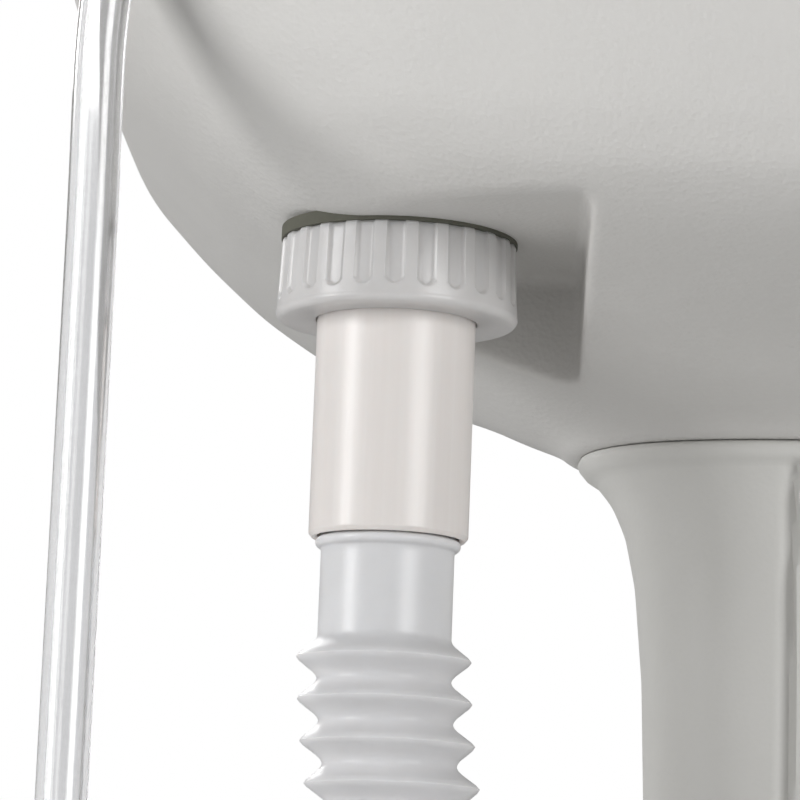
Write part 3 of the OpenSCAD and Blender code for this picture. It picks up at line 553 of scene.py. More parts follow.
def outline(*corners, steps=5):
    """Points of a profile. A corner is (radius, height), or (radius, height, fillet) if it is rounded."""
    points = []
    for i, (r, z, *fillet) in enumerate(corners):
        here = Vector((r, z))
        if not fillet:
            points.append(here)
            continue
        back = (Vector(corners[i - 1][:2]) - here).normalized()
        ahead = (Vector(corners[(i + 1) % len(corners)][:2]) - here).normalized()
        half = back.angle(ahead) / 2
        centre = here + (back + ahead).normalized() * fillet[0] / sin(half)
        start, end = (here + way * fillet[0] / tan(half) - centre for way in (back, ahead))
        points += [centre + start.lerp(end, s / steps).normalized() * fillet[0] for s in range(steps + 1)]
    return points


def turned(name, points, x=0, y=0, sides=96):
    """A turned piece: the profile is drawn point by point and spun once round the upright axis at x, y."""
    bpy.ops.object.select_all(action="DESELECT")
    bpy.ops.mesh.primitive_plane_add(size=mm, location=(x + points[0].x, y, points[0].y))
    piece = bpy.context.object
    piece.name = name
    bpy.ops.object.mode_set(mode="EDIT")
    bpy.ops.mesh.merge(type="CENTER")
    for last, point in zip(points, points[1:]):
        way = (point.x - last.x, 0, point.y - last.y)
        bpy.ops.mesh.extrude_region_move(TRANSFORM_OT_translate={"value": way})
    bpy.ops.mesh.select_all(action="SELECT")
    bpy.ops.mesh.spin(steps=sides, angle=tau, center=(x, y, 0), axis=(0, 0, 1))
    bpy.ops.mesh.select_all(action="SELECT")
    bpy.ops.mesh.remove_doubles(threshold=0.002 * mm)
    bpy.ops.mesh.normals_make_consistent(inside=False)
    bpy.ops.object.mode_set(mode="OBJECT")
    bpy.ops.object.transform_apply(location=True)
    return piece


def closed(points):
    """A profile whose last point meets its first."""
    return points + [points[0].copy()]


pipe_low, pipe_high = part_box("tailpipe")
bore = pipe_r - 2.3 * mm
collar_r, collar_low, collar_high = pipe_r + 4.6 * mm, nut_z + 2.65 * mm, nut_z + 4.6 * mm
pipe = turned("tailpipe_extruded", closed(outline(
    (bore, pipe_low.z + 0.5 * mm, 0.4 * mm), (pipe_r - 0.9 * mm, pipe_low.z, 0.3 * mm),
    (pipe_r, pipe_low.z + 1.1 * mm, 0.8 * mm), (pipe_r, collar_low),
    (collar_r, collar_low, 0.4 * mm), (collar_r, collar_high, 0.4 * mm),
    (pipe_r, collar_high), (pipe_r, pipe_high.z, 0.5 * mm), (bore, pipe_high.z, 0.5 * mm),
)), drain.x, drain.y, 128)
material, at = coating("cream_pvc")
streaks = at.node("Mapping", {}, {"Vector": at, "Scale": (1, 1, 0.02)}).noise(1.6 * mm, 4)
dull = at.noise(22 * mm, 5)
at.surface(
    Base_Color=at.between((0.80, 0.75, 0.72), (0.86, 0.825, 0.80), streaks),
    Roughness=0.3 + dull * 0.08,
    Normal=at.bump(streaks, 0.02 * mm),
    Subsurface_Weight=0.12,
    Subsurface_Radius=(3 * mm, 2.2 * mm, 1.8 * mm),
    Subsurface_Scale=1.0,
    Coat_Weight=0.15,
    Coat_Roughness=0.2,
)
place(pipe, material, "white_pvc", stands_for=["tailpipe"])


# ---- Drain hose ----
# A blown polyethylene bellows carries the waste water down to the tank. A plain neck with a bead slides
# into the tailpipe, ring folds let it bend in towards the column, and a plain end plugs into the deck.

inlet = middle("waste_grommet")
deck_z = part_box("waste_grommet")[1].z - 5 * mm
hose_low, hose_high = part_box("drain_hose")
bead_z = pipe_low.z - 1.2 * mm
bend_z = bead_z - 23.5 * mm
neck_r = bore - mm
fold_r = 21.8 * mm
fold = 10.4 * mm
bend_end = (bend_z + deck_z) / 2
folds = int((bend_z - deck_z - 24 * mm) / fold)
folds_end = bend_z - folds * fold
per_fold = 12
way = step_up(np.linspace(bend_z, folds_end, folds * per_fold + 1), bend_z, bend_end)
phase = abs(2 * (np.arange(len(way)) / per_fold % 1) - 1)
shape = np.interp(phase, [0, 0.12, 0.72, 0.88, 1], [1, 0.93, 0.15, 0.03, 0])
stations = [
    (bend_z - i * fold / per_fold, way[i], neck_r + (fold_r - neck_r) * shape[i]) for i in range(len(way))
]
neck = [(hose_high.z, neck_r - mm), (hose_high.z - 0.6 * mm, neck_r - 0.5 * mm)]
neck += [(z, neck_r) for z in np.linspace(hose_high.z - mm, bead_z + 2.2 * mm, 8)]
neck += [
    (bead_z + 1.4 * mm * cos(a), neck_r + 1.5 * mm * sin(a)) for a in np.linspace(0.15, pi - 0.15, 9)
]
neck += [(z, neck_r) for z in np.linspace(bead_z - 2 * mm, bend_z + 0.8 * mm, 12)]
ends = [(z, neck_r) for z in np.linspace(folds_end - mm, hose_low.z, 12)]
line = [(z, 0, r) for z, r in neck] + stations + [(z, 1, r) for z, r in ends]
turn = np.linspace(0, tau, 64, endpoint=False)
hose_wall = 1.1 * mm
outer, inner = [], []
for z, share, r in line:
    x, y = drain.x + (inlet.x - drain.x) * share, drain.y + (inlet.y - drain.y) * share
    outer.append(circle(x, y, z, r, turn))
    inner.append(circle(x, y, z, r - hose_wall, turn))
hose = skin("drain_hose_bellows", outer + inner[::-1], loop=True)
hose_milk = milky("milky_polyethylene", (0.98, 0.95, 0.94), (0.94, 0.91, 0.90), 0.6, 0.3)
place(hose, hose_milk, "milky_ldpe", stands_for=["drain_hose"], crease=60)


# ---- Supply hose ----
# Clear flexible PVC tube carries the fresh water from the deck's barb up behind the basin to the faucet's
# tail. It is pushed over a barb at both ends and clamped.

barb = middle("deck_barb")
tail_x, tail_y = middle("faucet_washer").x, middle("faucet_washer").y
rise_x, rise_y = 0.397 * 2 * half_w + 11 * mm, 0.4133 * 2 * half_d
route = [
    (barb.x, barb.y, deck_z + 6 * mm), (barb.x, barb.y, deck_z + 22 * mm),
    (barb.x, barb.y, deck_z + 38 * mm), (barb.x + 2 * mm, barb.y + 12 * mm, deck_z + 90 * mm),
    (rise_x - 4 * mm, rise_y - 18 * mm, deck_z + 150 * mm), (rise_x, rise_y - 2 * mm, deck_z + 210 * mm),
    (rise_x, rise_y, deck_z + 260 * mm), (rise_x, rise_y, hang_z - 160 * mm),
    (rise_x, rise_y, hang_z - 80 * mm), (rise_x, rise_y, hang_z), (rise_x, rise_y, hang_z + 50 * mm),
    (rise_x - 4 * mm, rise_y + 0.5 * mm, hang_z + 68 * mm),
    (rise_x - 18 * mm, rise_y + 2 * mm, hang_z + 81 * mm),
    (rise_x - 40 * mm, rise_y + 4 * mm, hang_z + 87 * mm),
    (tail_x + 17 * mm, tail_y, hang_z + 90 * mm),
    (tail_x + 4 * mm, tail_y, hang_z + 95 * mm), (tail_x, tail_y, hang_z + 103 * mm),
    (tail_x, tail_y, hang_z + 110 * mm), (tail_x, tail_y, hang_z + 118 * mm),
]


def smooth_line(points, steps):
    """A smooth line through points, with this many steps between each two."""
    p = np.array([points[0], *points, points[-1]], float)
    out = []
    for a, b, c, d in zip(p, p[1:], p[2:], p[3:]):
        for t in np.arange(steps) / steps:
            bend = (2 * a - 5 * b + 4 * c - d) * t * t + (3 * b - a - 3 * c + d) * t ** 3
            out.append(0.5 * (2 * b + (c - a) * t + bend))
    return np.array(out + [p[-1]])


def swept(name, line, radii, sides=32, bore=None):
    """A round bar along a line, with one radius or one for each point, or a tube if it has a bore."""
    line = np.array(line, float)
    ways = np.gradient(line, axis=0)
    ways /= np.linalg.norm(ways, axis=1)[:, None]
    side = np.cross(ways[0], (0.3, 1, 0.2))
    turn = np.linspace(0, tau, sides, endpoint=False)[:, None]
    radii = np.broadcast_to(radii, len(line))
    outer, inner = [], []
    for point, ahead, radius in zip(line, ways, radii):
        side = side - ahead * side.dot(ahead)
        side /= np.linalg.norm(side)
        around = np.cos(turn) * side + np.sin(turn) * np.cross(ahead, side)
        outer.append(point + radius * around)
        inner.append(point + (bore or 0) * around)
    if bore:
        return skin(name, outer + inner[::-1], loop=True)
    return skin(name, outer, capped=True)


supply = swept("supply_hose_clear", smooth_line(route, 8), 6 * mm, 40, 4.1 * mm)
material, at = coating("clear_pvc")
waves = at.node("Mapping", {}, {"Vector": at, "Scale": (1, 1, 0.03)}).noise(5 * mm, 1)
haze = at.noise(30 * mm, 3)
at.surface(
    Base_Color=at.between((0.80, 0.80, 0.805), (0.86, 0.86, 0.865), haze),
    Roughness=0.04 + haze * 0.08,
    Normal=at.bump(waves, 0.02 * mm),
    IOR=1.5,
    Transmission_Weight=0.92,
)
place(supply, material, "clear_pvc", stands_for=["supply_hose"], crease=60)


# ---- Basin bowl ----
# The bowl is the upper moulding of the basin: a skirt that hides the casing's top edge, a rounded rim and
# flat rear deck for the faucet and soap, and a bowl whose floor slopes to a dish round the corner drain.

bowl_y = -0.0485 * 2 * half_d
bowl_floor = pad_z + 47.5 * mm
dish_z = pad_z + 11.5 * mm
dish_r = 33 * mm
bowl_power = 5
foot_x, foot_y = 0.79 * half_w, 0.755 * half_d
mouth_x, mouth_y = 0.865 * half_w, 0.835 * half_d


def bowl_floor_at(x, y):
    """The floor's height, which rises in a straight slope from the dish to the foot of the walls."""
    way_x, way_y = x - drain.x, y - drain.y
    low, high = np.ones_like(x), np.full_like(x, 400.0)
    for _ in range(40):
        mid = (low + high) / 2
        across, along = drain.x + way_x * mid, drain.y + way_y * mid - bowl_y
        inside = abs(across / foot_x) ** bowl_power + abs(along / foot_y) ** bowl_power < 1
        low, high = np.where(inside, mid, low), np.where(inside, high, mid)
    reach = np.hypot(way_x, way_y)
    share = np.clip((reach - dish_r) / np.maximum(reach * low - dish_r, mm), 0, 1)
    return dish_z + (bowl_floor - dish_z) * share


turn = np.linspace(0, tau, 240, endpoint=False)
turn = turn + 0.075 * np.sin(4 * turn)
skirt_low = rim_z - 22 * mm
edge_r, lip_r, foot_r = 5 * mm, 6 * mm, 16 * mm
rings = []
for z in (skirt_low, skirt_low + 0.5 * mm, skirt_low + 1.2 * mm, skirt_low + 8 * mm, rim_z - edge_r - mm):
    tuck = 0.8 * mm * step_up(z, skirt_low + 1.2 * mm, skirt_low)
    rings.append(level_ring(*oval(half_w - tuck, half_d - tuck, bowl_power, turn), z))
for a in np.linspace(0, pi / 2, 8):
    inset = edge_r * (1 - cos(a))
    x, y = oval(half_w - inset, half_d - inset, bowl_power, turn)
    rings.append(level_ring(x, y, rim_z - edge_r * (1 - sin(a))))
outer_x, outer_y = oval(half_w - edge_r, half_d - edge_r, bowl_power, turn)
lip_x, lip_y = oval(mouth_x + lip_r, mouth_y + lip_r, bowl_power, turn)
for t in (0.25, 0.5, 0.75, 0.97):
    x, y = outer_x + (lip_x - outer_x) * t, outer_y + (lip_y + bowl_y - outer_y) * t
    rings.append(level_ring(x, y, rim_z))
wall_inset = mouth_x - foot_x
wall_h = rim_z - lip_r - bowl_floor - foot_r
slope = [(lip_r * (1 - sin(a)), rim_z - lip_r * (1 - cos(a)), 0) for a in np.linspace(0.05, 1.4, 8)]
slope += [(-wall_inset * t, rim_z - lip_r - wall_h * t, t * 0.4) for t in np.linspace(0.06, 0.94, 16)]
slope += [
    (-wall_inset - foot_r * (1 - cos(a)), bowl_floor + foot_r * (1 - sin(a)), 0.4 + 0.6 * sin(a))
    for a in np.linspace(0.1, pi / 2, 10)
]
for inset, z, share in slope:
    x, y = oval(mouth_x + inset, mouth_y + inset, bowl_power, turn)
    drop = bowl_floor - bowl_floor_at(x, y + bowl_y)
    rings.append(level_ring(x, y + bowl_y, z - drop * step_up(share, 0.25, 1)))
last_x, last_y = x, y
for t in np.linspace(0.96, 0, 41):
    x, y = last_x * t, last_y * t + bowl_y
    rings.append(level_ring(x, y, bowl_floor_at(x, y)))
bowl = skin("basin_bowl_moulding", rings)
edit(bowl)
bpy.ops.mesh.remove_doubles(threshold=0.01 * mm)
bpy.ops.mesh.normals_make_consistent(inside=False)
bpy.ops.object.mode_set(mode="OBJECT")
hardened(bowl, "SOLIDIFY", thickness=3 * mm, offset=-1)
drilled(bowl, (drain.x, drain.y, drain_hole_r, dish_z - 9 * mm, dish_z + 5 * mm),
        (tail_x, tail_y, 10.5 * mm, rim_z - 9 * mm, rim_z + 5 * mm))
bowl_grey = polyethylene("bowl_polyethylene", (0.69, 0.685, 0.66), (0.65, 0.645, 0.62), depth=0.05 * mm)
place(bowl, bowl_grey, "bowl_hdpe", stands_for=["basin_bowl"])


# ---- Tank base ----
# One blow-moulding holds the fresh water in front and the waste behind. A well in its front takes the foot
# pump, arches take the wheels, and a recess in the back takes the waste port with its cap.

lift = 14 * mm
base_x, base_y = 220 * mm, 196 * mm
axle_at = middle("axle")
step_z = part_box("pump_gasket")[0].z
well_back = middle("pump_pedal").y + 56 * mm
wheel_at = middle("wheel_right")
wheel_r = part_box("wheel_right")[1].z - wheel_at.z
base_rows = [
    (0, 0.9, 0.895), (lift, 0.925, 0.92), (lift + 5 * mm, 0.965, 0.96), (lift + 16 * mm, 0.99, 0.99),
    (60 * mm, 1, 1), (deck_z - 70 * mm, 0.985, 0.98), (deck_z - 34 * mm, 0.965, 0.96),
    (deck_z - 12 * mm, 0.94, 0.932),
    (deck_z, 0.915, 0.905), (deck_z + 30 * mm, 0.86, 0.84),
]
base_wall = flared([(z, x * base_x, y * base_y, 4.6) for z, x, y in base_rows], 0)
port_y = base_y - 34 * mm
port_z = middle("waste_cap").z


def base_outside(x, y, z):
    shape = both(both(base_wall(x, y, z), z - deck_z, 11 * mm), lift - z, 5 * mm)
    well = both(both(abs(x) - 70 * mm, y - well_back, 16 * mm), step_z - z, 8 * mm)
    arch = both(wheel_at.x - 17 * mm - abs(x), axle_at.y - wheel_r - 6 * mm - y, 12 * mm)
    arch = both(arch, z - wheel_r * 2 - 7 * mm, 14 * mm)
    port = both(both(abs(x) - 40 * mm, abs(z - port_z) - 38 * mm, 12 * mm), port_y - y, 5 * mm)
    channel = both(abs(y - axle_at.y) - 6 * mm, z - axle_at.z - 7 * mm, 3 * mm)
    for cut, edge in ((well, 6 * mm), (arch, 5 * mm), (port, 4 * mm), (channel, 2 * mm)):
        shape = both(shape, -cut, edge)
    return shape


tank = moulded("base_tank_moulding", [
    lines(-base_x, base_x, 4.4 * mm), lines(-base_y, base_y, 4.4 * mm), lines(lift, deck_z, 4.4 * mm)
], base_outside)
hardened(tank, "SOLIDIFY", thickness=3 * mm, offset=-1)
filler = middle("filler_cap")
drilled(tank, (filler.x, filler.y, 27 * mm, deck_z - 20 * mm, deck_z + 9 * mm),
        (inlet.x, inlet.y, neck_r + 5 * mm, deck_z - 20 * mm, deck_z + 9 * mm))
drilled(tank, (0, -port_z, 14 * mm, port_y - 9 * mm, port_y + 9 * mm), turned_by=(radians(-90), 0, 0))


def joined(piece, *others):
    """Joins the others into a piece."""
    bpy.ops.object.select_all(action="DESELECT")
    for part in (piece, *others):
        part.select_set(True)
    bpy.context.view_layer.objects.active = piece
    bpy.ops.object.join()


def threaded_neck(name, radius, bore, height):
    """An upright neck on z = 0 with a screw thread of one and three quarter turns, and its bore open."""
    neck = turned(name, closed(outline(
        (bore, -3 * mm), (radius, -3 * mm), (radius, height, mm), (bore, height, mm)
    )))
    around = np.linspace(0, 1.75 * tau, 140)
    climb = height - 11 * mm + 4.5 * mm * around / tau
    coil = np.column_stack([radius * np.cos(around), radius * np.sin(around), climb])
    taper = np.clip(np.minimum(around, around[::-1]) * 2, 0.15, 1)
    joined(neck, swept("thread", coil, 0.9 * mm * taper, 8))
    return neck


tank_grey = polyethylene(
    "tank_polyethylene", (0.64, 0.635, 0.61), (0.6, 0.595, 0.57), 1.8 * mm, 0.11 * mm
)
place(tank, tank_grey, "tank_hdpe", stands_for=["base_tank"])
filler_neck = threaded_neck("filler_neck", 32.2 * mm, 27 * mm, 14 * mm)
filler_neck.location = (filler.x, filler.y, deck_z)
place(filler_neck, tank_grey, "tank_hdpe")
waste_neck = threaded_neck("waste_neck", 19.2 * mm, 14 * mm, 14 * mm)
waste_neck.rotation_euler = (radians(-90), 0, 0)
waste_neck.location = (0, port_y, port_z)
place(waste_neck, tank_grey, "tank_hdpe")


# ---- Caps ----
# Two screw caps with ribbed grips close the tank: a blue one over the fresh water filler and a black one on
# the waste port. Each is an injection moulding with a rubber disc seal inside.

def moulded_plastic(name, light, dark, roughness, grain=0.4 * mm, depth=0.03 * mm, shine=0.45):
    """Injection-moulded plastic with a spark-eroded texture, faint flow tone and rubbed patches."""
    material, at = coating(name)
    fine = at.noise(grain, 2)
    flow = at.noise(25 * mm, 4)
    rubbed = at.noise(7 * mm, 6).ramp(0.58, 0.72)
    at.surface(
        Base_Color=at.between(dark, light, flow.ramp(0.3, 0.7) * 0.8 + rubbed * 0.2),
        Roughness=roughness + fine * 0.1 - rubbed * 0.06,
        Normal=at.bump(fine, depth),
        Specular_IOR_Level=shine,
    )
    return material


def ribbed(name, rows, ribs, height):
    """A cap whose rows give its height, radius and share of rib, closed at both ends."""
    around = np.linspace(0, tau, ribs * 10, endpoint=False)
    wave = np.clip(np.cos(around * ribs) * 0.9 + 0.35, 0, 1)
    rings = []
    for z, radius, share in rows:
        rings.append(circle(0, 0, z, radius + share * height * wave, around))
    return skin(name, rings, capped=True)


def cap_rows(radius, height, bore, depth):
    """A cap's section from the middle of its inside, round its lip and up to the middle of its top."""
    edge, sunk = 3 * mm, height - 0.9 * mm
    rows = [(depth, mm, 0), (depth, bore, 0), (1.2 * mm, bore, 0), (0.2 * mm, bore + 0.6 * mm, 0)]
    rows += [(0, radius - 1.2 * mm, 0), (0.3 * mm, radius - 0.4 * mm, 0), (mm, radius, 0.2)]
    rows += [(2 * mm, radius, 1), (height - 4.5 * mm, radius, 1), (height - 3.6 * mm, radius, 0.6)]
    rows += [(height - edge, radius, 0)]
    rows += [
        (height - edge * (1 - sin(a)), radius - edge * (1 - cos(a)), 0) for a in np.linspace(0.2, pi / 2, 7)
    ]
    return rows + [(height, radius - 7 * mm, 0), (sunk, radius - 8.2 * mm, 0), (sunk, mm, 0)]


cap_low, cap_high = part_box("filler_cap")
grip = 1.3 * mm
rows = cap_rows(39 * mm, cap_high.z - cap_low.z, 33.3 * mm, 15.5 * mm)
filler_cap = ribbed("filler_cap_ribbed", rows, 28, grip)
filler_cap.location = (filler.x, filler.y, cap_low.z)
blue = moulded_plastic("blue_polypropylene", (0.035, 0.15, 0.42), (0.028, 0.12, 0.36), 0.32)
place(filler_cap, blue, "blue_cap", "filler_cap_body", ["filler_cap"], 45)
waste_low, waste_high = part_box("waste_cap")
rows = cap_rows(25 * mm, waste_high.y - waste_low.y, 20.3 * mm, 14.5 * mm)
waste_cap = ribbed("waste_cap_ribbed", rows, 20, grip)
waste_cap.rotation_euler = (radians(-90), 0, 0)
waste_cap.location = (0, waste_low.y, port_z)
black = moulded_plastic("black_polypropylene", (0.045, 0.045, 0.047), (0.03, 0.03, 0.032), 0.38)
place(waste_cap, black, "black_plastic", "waste_cap_body", ["waste_cap"], 45)


# ---- Wheels, axle and feet ----
# Two moulded wheels with a lugged tread turn on a steel axle under the back of the tank, held by press-on
# caps. Two rubber feet with ringed soles carry the front, so that the sink stands firm.

def copied(piece, at, turned_by=(0, 0, 0)):
    """A copy of a piece with a mesh of its own, set at another place."""
    twin = piece.copy()
    twin.data = piece.data.copy()
    bpy.context.scene.collection.objects.link(twin)
    twin.location = at
    twin.rotation_euler = turned_by
    return twin


def dressed(material, *nodes):
    """Gives CAD nodes whose shape is already right their surface."""
    for node in nodes:
        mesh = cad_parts[node].data
        mesh.materials.clear()
        mesh.materials.append(material)


axle_low, axle_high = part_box("axle")
axle_r = (axle_high.z - axle_low.z) / 2
lugs = 26
turn = np.linspace(0, tau, lugs * 12, endpoint=False)
section = [(axle_r + 0.05 * mm, 12.6), (axle_r + 0.5 * mm, 13)] + [(r * mm, half) for r, half in (
    (11.2, 13), (11.8, 12.7), (12, 12.2), (12.1, 8), (12.8, 7.1), (13.6, 7), (16, 7), (20, 7), (24, 7),
    (26.6, 7), (27.5, 7.3), (27.9, 8), (28, 11.3), (28.4, 11.8), (29, 12), (33, 12), (36, 11.9), (38, 11.3),
    (39.3, 10.1), (39.9, 8.4), (40, 7), (40, 3.6), (40, 0.8),
)]
rings = []
for radius, half in section + [(r, -z) for r, z in section[::-1]]:
    chevron = turn + 0.02 * abs(half)
    pitch = abs((chevron * lugs / tau) % 1 - 0.5) * tau / lugs * wheel_r
    in_tread = step_up(radius, 38.6 * mm, 39.8 * mm)
    r = radius - 1.5 * mm * in_tread * step_up(pitch, 1.6 * mm, 0.8 * mm)
    spoke = abs((turn * 6 / tau) % 1 - 0.5) * tau / 6 * radius
    in_web = step_up(radius, 12.2 * mm, 13 * mm) * step_up(radius, 27.9 * mm, 27.2 * mm)
    x = half * mm + np.sign(half) * 3.6 * mm * in_web * step_up(spoke, 2.2 * mm, 1.4 * mm)
    rings.append(np.column_stack([x, r * np.cos(turn), r * np.sin(turn)]))
wheel = skin("wheel_right_lugged", rings, loop=True)
wheel_black = moulded_plastic(
    "wheel_polypropylene", (0.06, 0.06, 0.06), (0.035, 0.035, 0.036), 0.5, mm, 0.05 * mm
)
other = copied(wheel, middle("wheel_left"))
other.name = "wheel_left_lugged"
wheel.location = wheel_at
place(wheel, wheel_black, "wheel_plastic", "wheel_right_body", ["wheel_right"], 30)
place(other, wheel_black, "wheel_plastic", "wheel_left_body", ["wheel_left"], 30)
axle_cap = turned("axle_cap_right", closed(outline(
    (0.05 * mm, 5.5 * mm), (axle_r, 5.5 * mm, 0.4 * mm), (axle_r, 0, 0.3 * mm), (11 * mm, 0, 0.4 * mm),
    (10.2 * mm, 6 * mm, 0.5 * mm), (9 * mm, 6.6 * mm, 0.6 * mm), (8 * mm, 9 * mm, 2 * mm),
    (0.05 * mm, 9 * mm)
)))
cap_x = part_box("axle_caps")[1].x - 9 * mm
other = copied(axle_cap, (-cap_x, axle_at.y, axle_at.z), (0, radians(-90), 0))
other.name = "axle_cap_left"
axle_cap.location = (cap_x, axle_at.y, axle_at.z)
axle_cap.rotation_euler = (0, radians(90), 0)
place(axle_cap, black, "black_plastic", "frame", ["axle_caps"])
place(other, black, "black_plastic")
rubber = moulded_plastic(
    "black_rubber", (0.035, 0.035, 0.034), (0.02, 0.02, 0.02), 0.72, 1.2 * mm, 0.06 * mm, 0.3
)
feet_low, feet_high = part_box("front_feet")
foot_h = feet_high.z
sole = [(0.05 * mm, 0.8 * mm)]
for ring in range(3):
    near = (5 + 4.6 * ring) * mm
    sole += [(near, 0.8 * mm), (near + 0.5 * mm, 0), (near + 2.2 * mm, 0), (near + 2.7 * mm, 0.8 * mm)]
foot = turned("front_foot_right", closed(outline(
    *sole, (18.4 * mm, 0.8 * mm), (19 * mm, 0, 0.3 * mm), (20 * mm, 3 * mm, 2 * mm),
    (22 * mm, foot_h - 2 * mm, 0.8 * mm), (22 * mm, foot_h), (0.05 * mm, foot_h)
)))
foot_x = feet_high.x - 22 * mm
foot_y = (feet_low.y + feet_high.y) / 2
other = copied(foot, (-foot_x, foot_y, 0))
other.name = "front_foot_left"
foot.location = (foot_x, foot_y, 0)
place(foot, rubber, "black_rubber", "frame", ["front_feet"])
place(other, rubber, "black_rubber")


# ---- Deck grommet ----
# A black rubber grommet snaps into the deck and grips the plain end of the drain hose.

grommet_low, grommet_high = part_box("waste_grommet")
hole_r = neck_r + 0.15 * mm
grommet_r = grommet_high.x - inlet.x
grommet = turned("deck_grommet", closed(outline(
    (hole_r, grommet_low.z, 0.4 * mm), (neck_r + 4.8 * mm, grommet_low.z, 0.8 * mm),
    (neck_r + 4.8 * mm, deck_z), (grommet_r, deck_z, 0.3 * mm), (grommet_r, deck_z + 2.6 * mm, 1.2 * mm),
    (neck_r + 4 * mm, grommet_high.z, 1.2 * mm), (hole_r, grommet_high.z, 0.7 * mm)
)), inlet.x, inlet.y)
place(grommet, rubber, "black_rubber", stands_for=["waste_grommet"])


# ---- Foot pump ----
# A piston pump stands in the front well. Four screws hold its black flange to the tank, a rubber gaiter
# covers the stroke, and a round ridged pedal is pressed down against a spring.

pump = middle("pump_pedal")
housing_low, housing_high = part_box("pump_housing")
barrel_floor = housing_low.z + 12 * mm
flange_low = step_z + 1.6 * mm
housing = turned("pump_flange_and_barrel", closed(outline(
    (23 * mm, barrel_floor, mm), (23 * mm, housing_high.z, 0.5 * mm), (28 * mm, housing_high.z, 0.8 * mm),
    (28 * mm, flange_low + 5 * mm, 0.6 * mm), (44 * mm, flange_low + 5 * mm, 1.5 * mm),
    (49 * mm, flange_low + 3.4 * mm, 1.6 * mm), (49 * mm, flange_low, 0.4 * mm),
    (28 * mm, flange_low, 0.6 * mm),
    (28 * mm, barrel_floor - 4 * mm, 2 * mm), (8 * mm, barrel_floor - 4 * mm, 0.6 * mm),
    (8 * mm, housing_low.z, 0.5 * mm), (4.5 * mm, housing_low.z, 0.4 * mm),
    (4.5 * mm, barrel_floor, 0.4 * mm),
)), pump.x, pump.y, 128)
place(housing, black, "black_plastic", stands_for=["pump_housing"])
outlet = turned("pump_outlet_pipe", closed(outline(
    (4 * mm, 27 * mm), (7 * mm, 27 * mm), (7 * mm, 36 * mm, 0.5 * mm), (6.4 * mm, 40 * mm, 0.4 * mm),
    (4 * mm, 40 * mm, 0.4 * mm)
)))
outlet.rotation_euler = (0, radians(90), 0)
outlet.location = (pump.x, pump.y, barrel_floor + 5 * mm)
place(outlet, black, "black_plastic")

gaiter_low, gaiter_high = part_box("pump_gaiter")
gaiter_h = gaiter_high.z - gaiter_low.z
steps = np.linspace(0, 1, 97)
wave = 0.5 - 0.5 * np.cos(steps * 4 * tau)
wave = 0.5 + 0.5 * np.sign(wave - 0.5) * abs(2 * wave - 1) ** 0.7
outside_line = [
    Vector((31.4 * mm + 6.4 * mm * w, gaiter_low.z + gaiter_h * t)) for t, w in zip(steps, wave)
]
inside_line = [Vector((p.x - 1.6 * mm, p.y)) for p in outside_line[::-1]]
gaiter = turned("pump_gaiter_folds", closed(outside_line + inside_line), pump.x, pump.y)
place(gaiter, rubber, "black_rubber", stands_for=["pump_gaiter"], crease=60)
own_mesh(gaiter)

pedal_low, pedal_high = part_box("pump_pedal")
top = pedal_high.z
grooves = []
for ring in range(6):
    near = (34.5 - 5.2 * ring) * mm
    grooves += [(near, top, 0.4 * mm), (near - 0.6 * mm, top - 1.4 * mm, 0.3 * mm),
                (near - 2.2 * mm, top - 1.4 * mm, 0.3 * mm), (near - 2.8 * mm, top, 0.4 * mm)]
pedal = turned("pump_pedal_ridged", closed(outline(
    (6.05 * mm, pedal_low.z), (39 * mm, pedal_low.z, mm), (42 * mm, pedal_low.z + 1.5 * mm, mm),
    (42 * mm, pedal_low.z + 7 * mm, 2 * mm), (38 * mm, top, 2.5 * mm), *grooves, (0.05 * mm, top),
    (0.05 * mm, pedal_low.z + 5 * mm), (6.05 * mm, pedal_low.z + 5 * mm), steps=3
)), pump.x, pump.y, 128)
place(pedal, black, "black_plastic", "pedal_body", ["pump_pedal"])


def coil(name, x, y, low, high, radius, wire, turns):
    """A compression spring between two heights, with its end turns closed up."""
    around = np.linspace(0, 1, turns * 28)
    rise = np.interp(around, [0, 1 / turns, 1 - 1 / turns, 1], [0, 0.35 / turns, 1 - 0.35 / turns, 1])
    angle = around * turns * tau
    climb = low + wire + (high - low - 2 * wire) * rise
    return swept(name, circle(x, y, climb, radius, angle), wire, 12)


def brushed(name, light, dark, roughness, direction=(1, 1, 0.05), grain=0.5 * mm, depth=0.004 * mm):
    """Metal with a fine grain drawn out in one direction, and faint smears."""
    material, at = coating(name)
    grain_at = at.node("Mapping", {}, {"Vector": at, "Scale": direction}).noise(grain, 4)
    smear = at.noise(18 * mm, 4)
    at.surface(
        Base_Color=at.between(dark, light, grain_at.ramp(0.3, 0.7)),
        Metallic=1.0,
        Roughness=roughness + grain_at * 0.08 + smear * 0.08,
        Normal=at.bump(grain_at, depth),
    )
    return material


steel = brushed("stainless_steel", (0.74, 0.74, 0.75), (0.62, 0.62, 0.63), 0.22)
spring_low, spring_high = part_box("pump_spring")
spring_r = (spring_high.x - spring_low.x) / 2 - mm
pump_spring = coil("pump_return_spring", pump.x, pump.y, spring_low.z, spring_high.z, spring_r, mm, 5)
place(pump_spring, steel, "steel", stands_for=["pump_spring"], crease=60)
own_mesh(pump_spring)


# ---- Drain and strainer ----
# A turned stainless drain passes through the bowl's dish and the casing. Its flange beds on a rubber ring,
# and a perforated strainer with a knob lifts out of it.

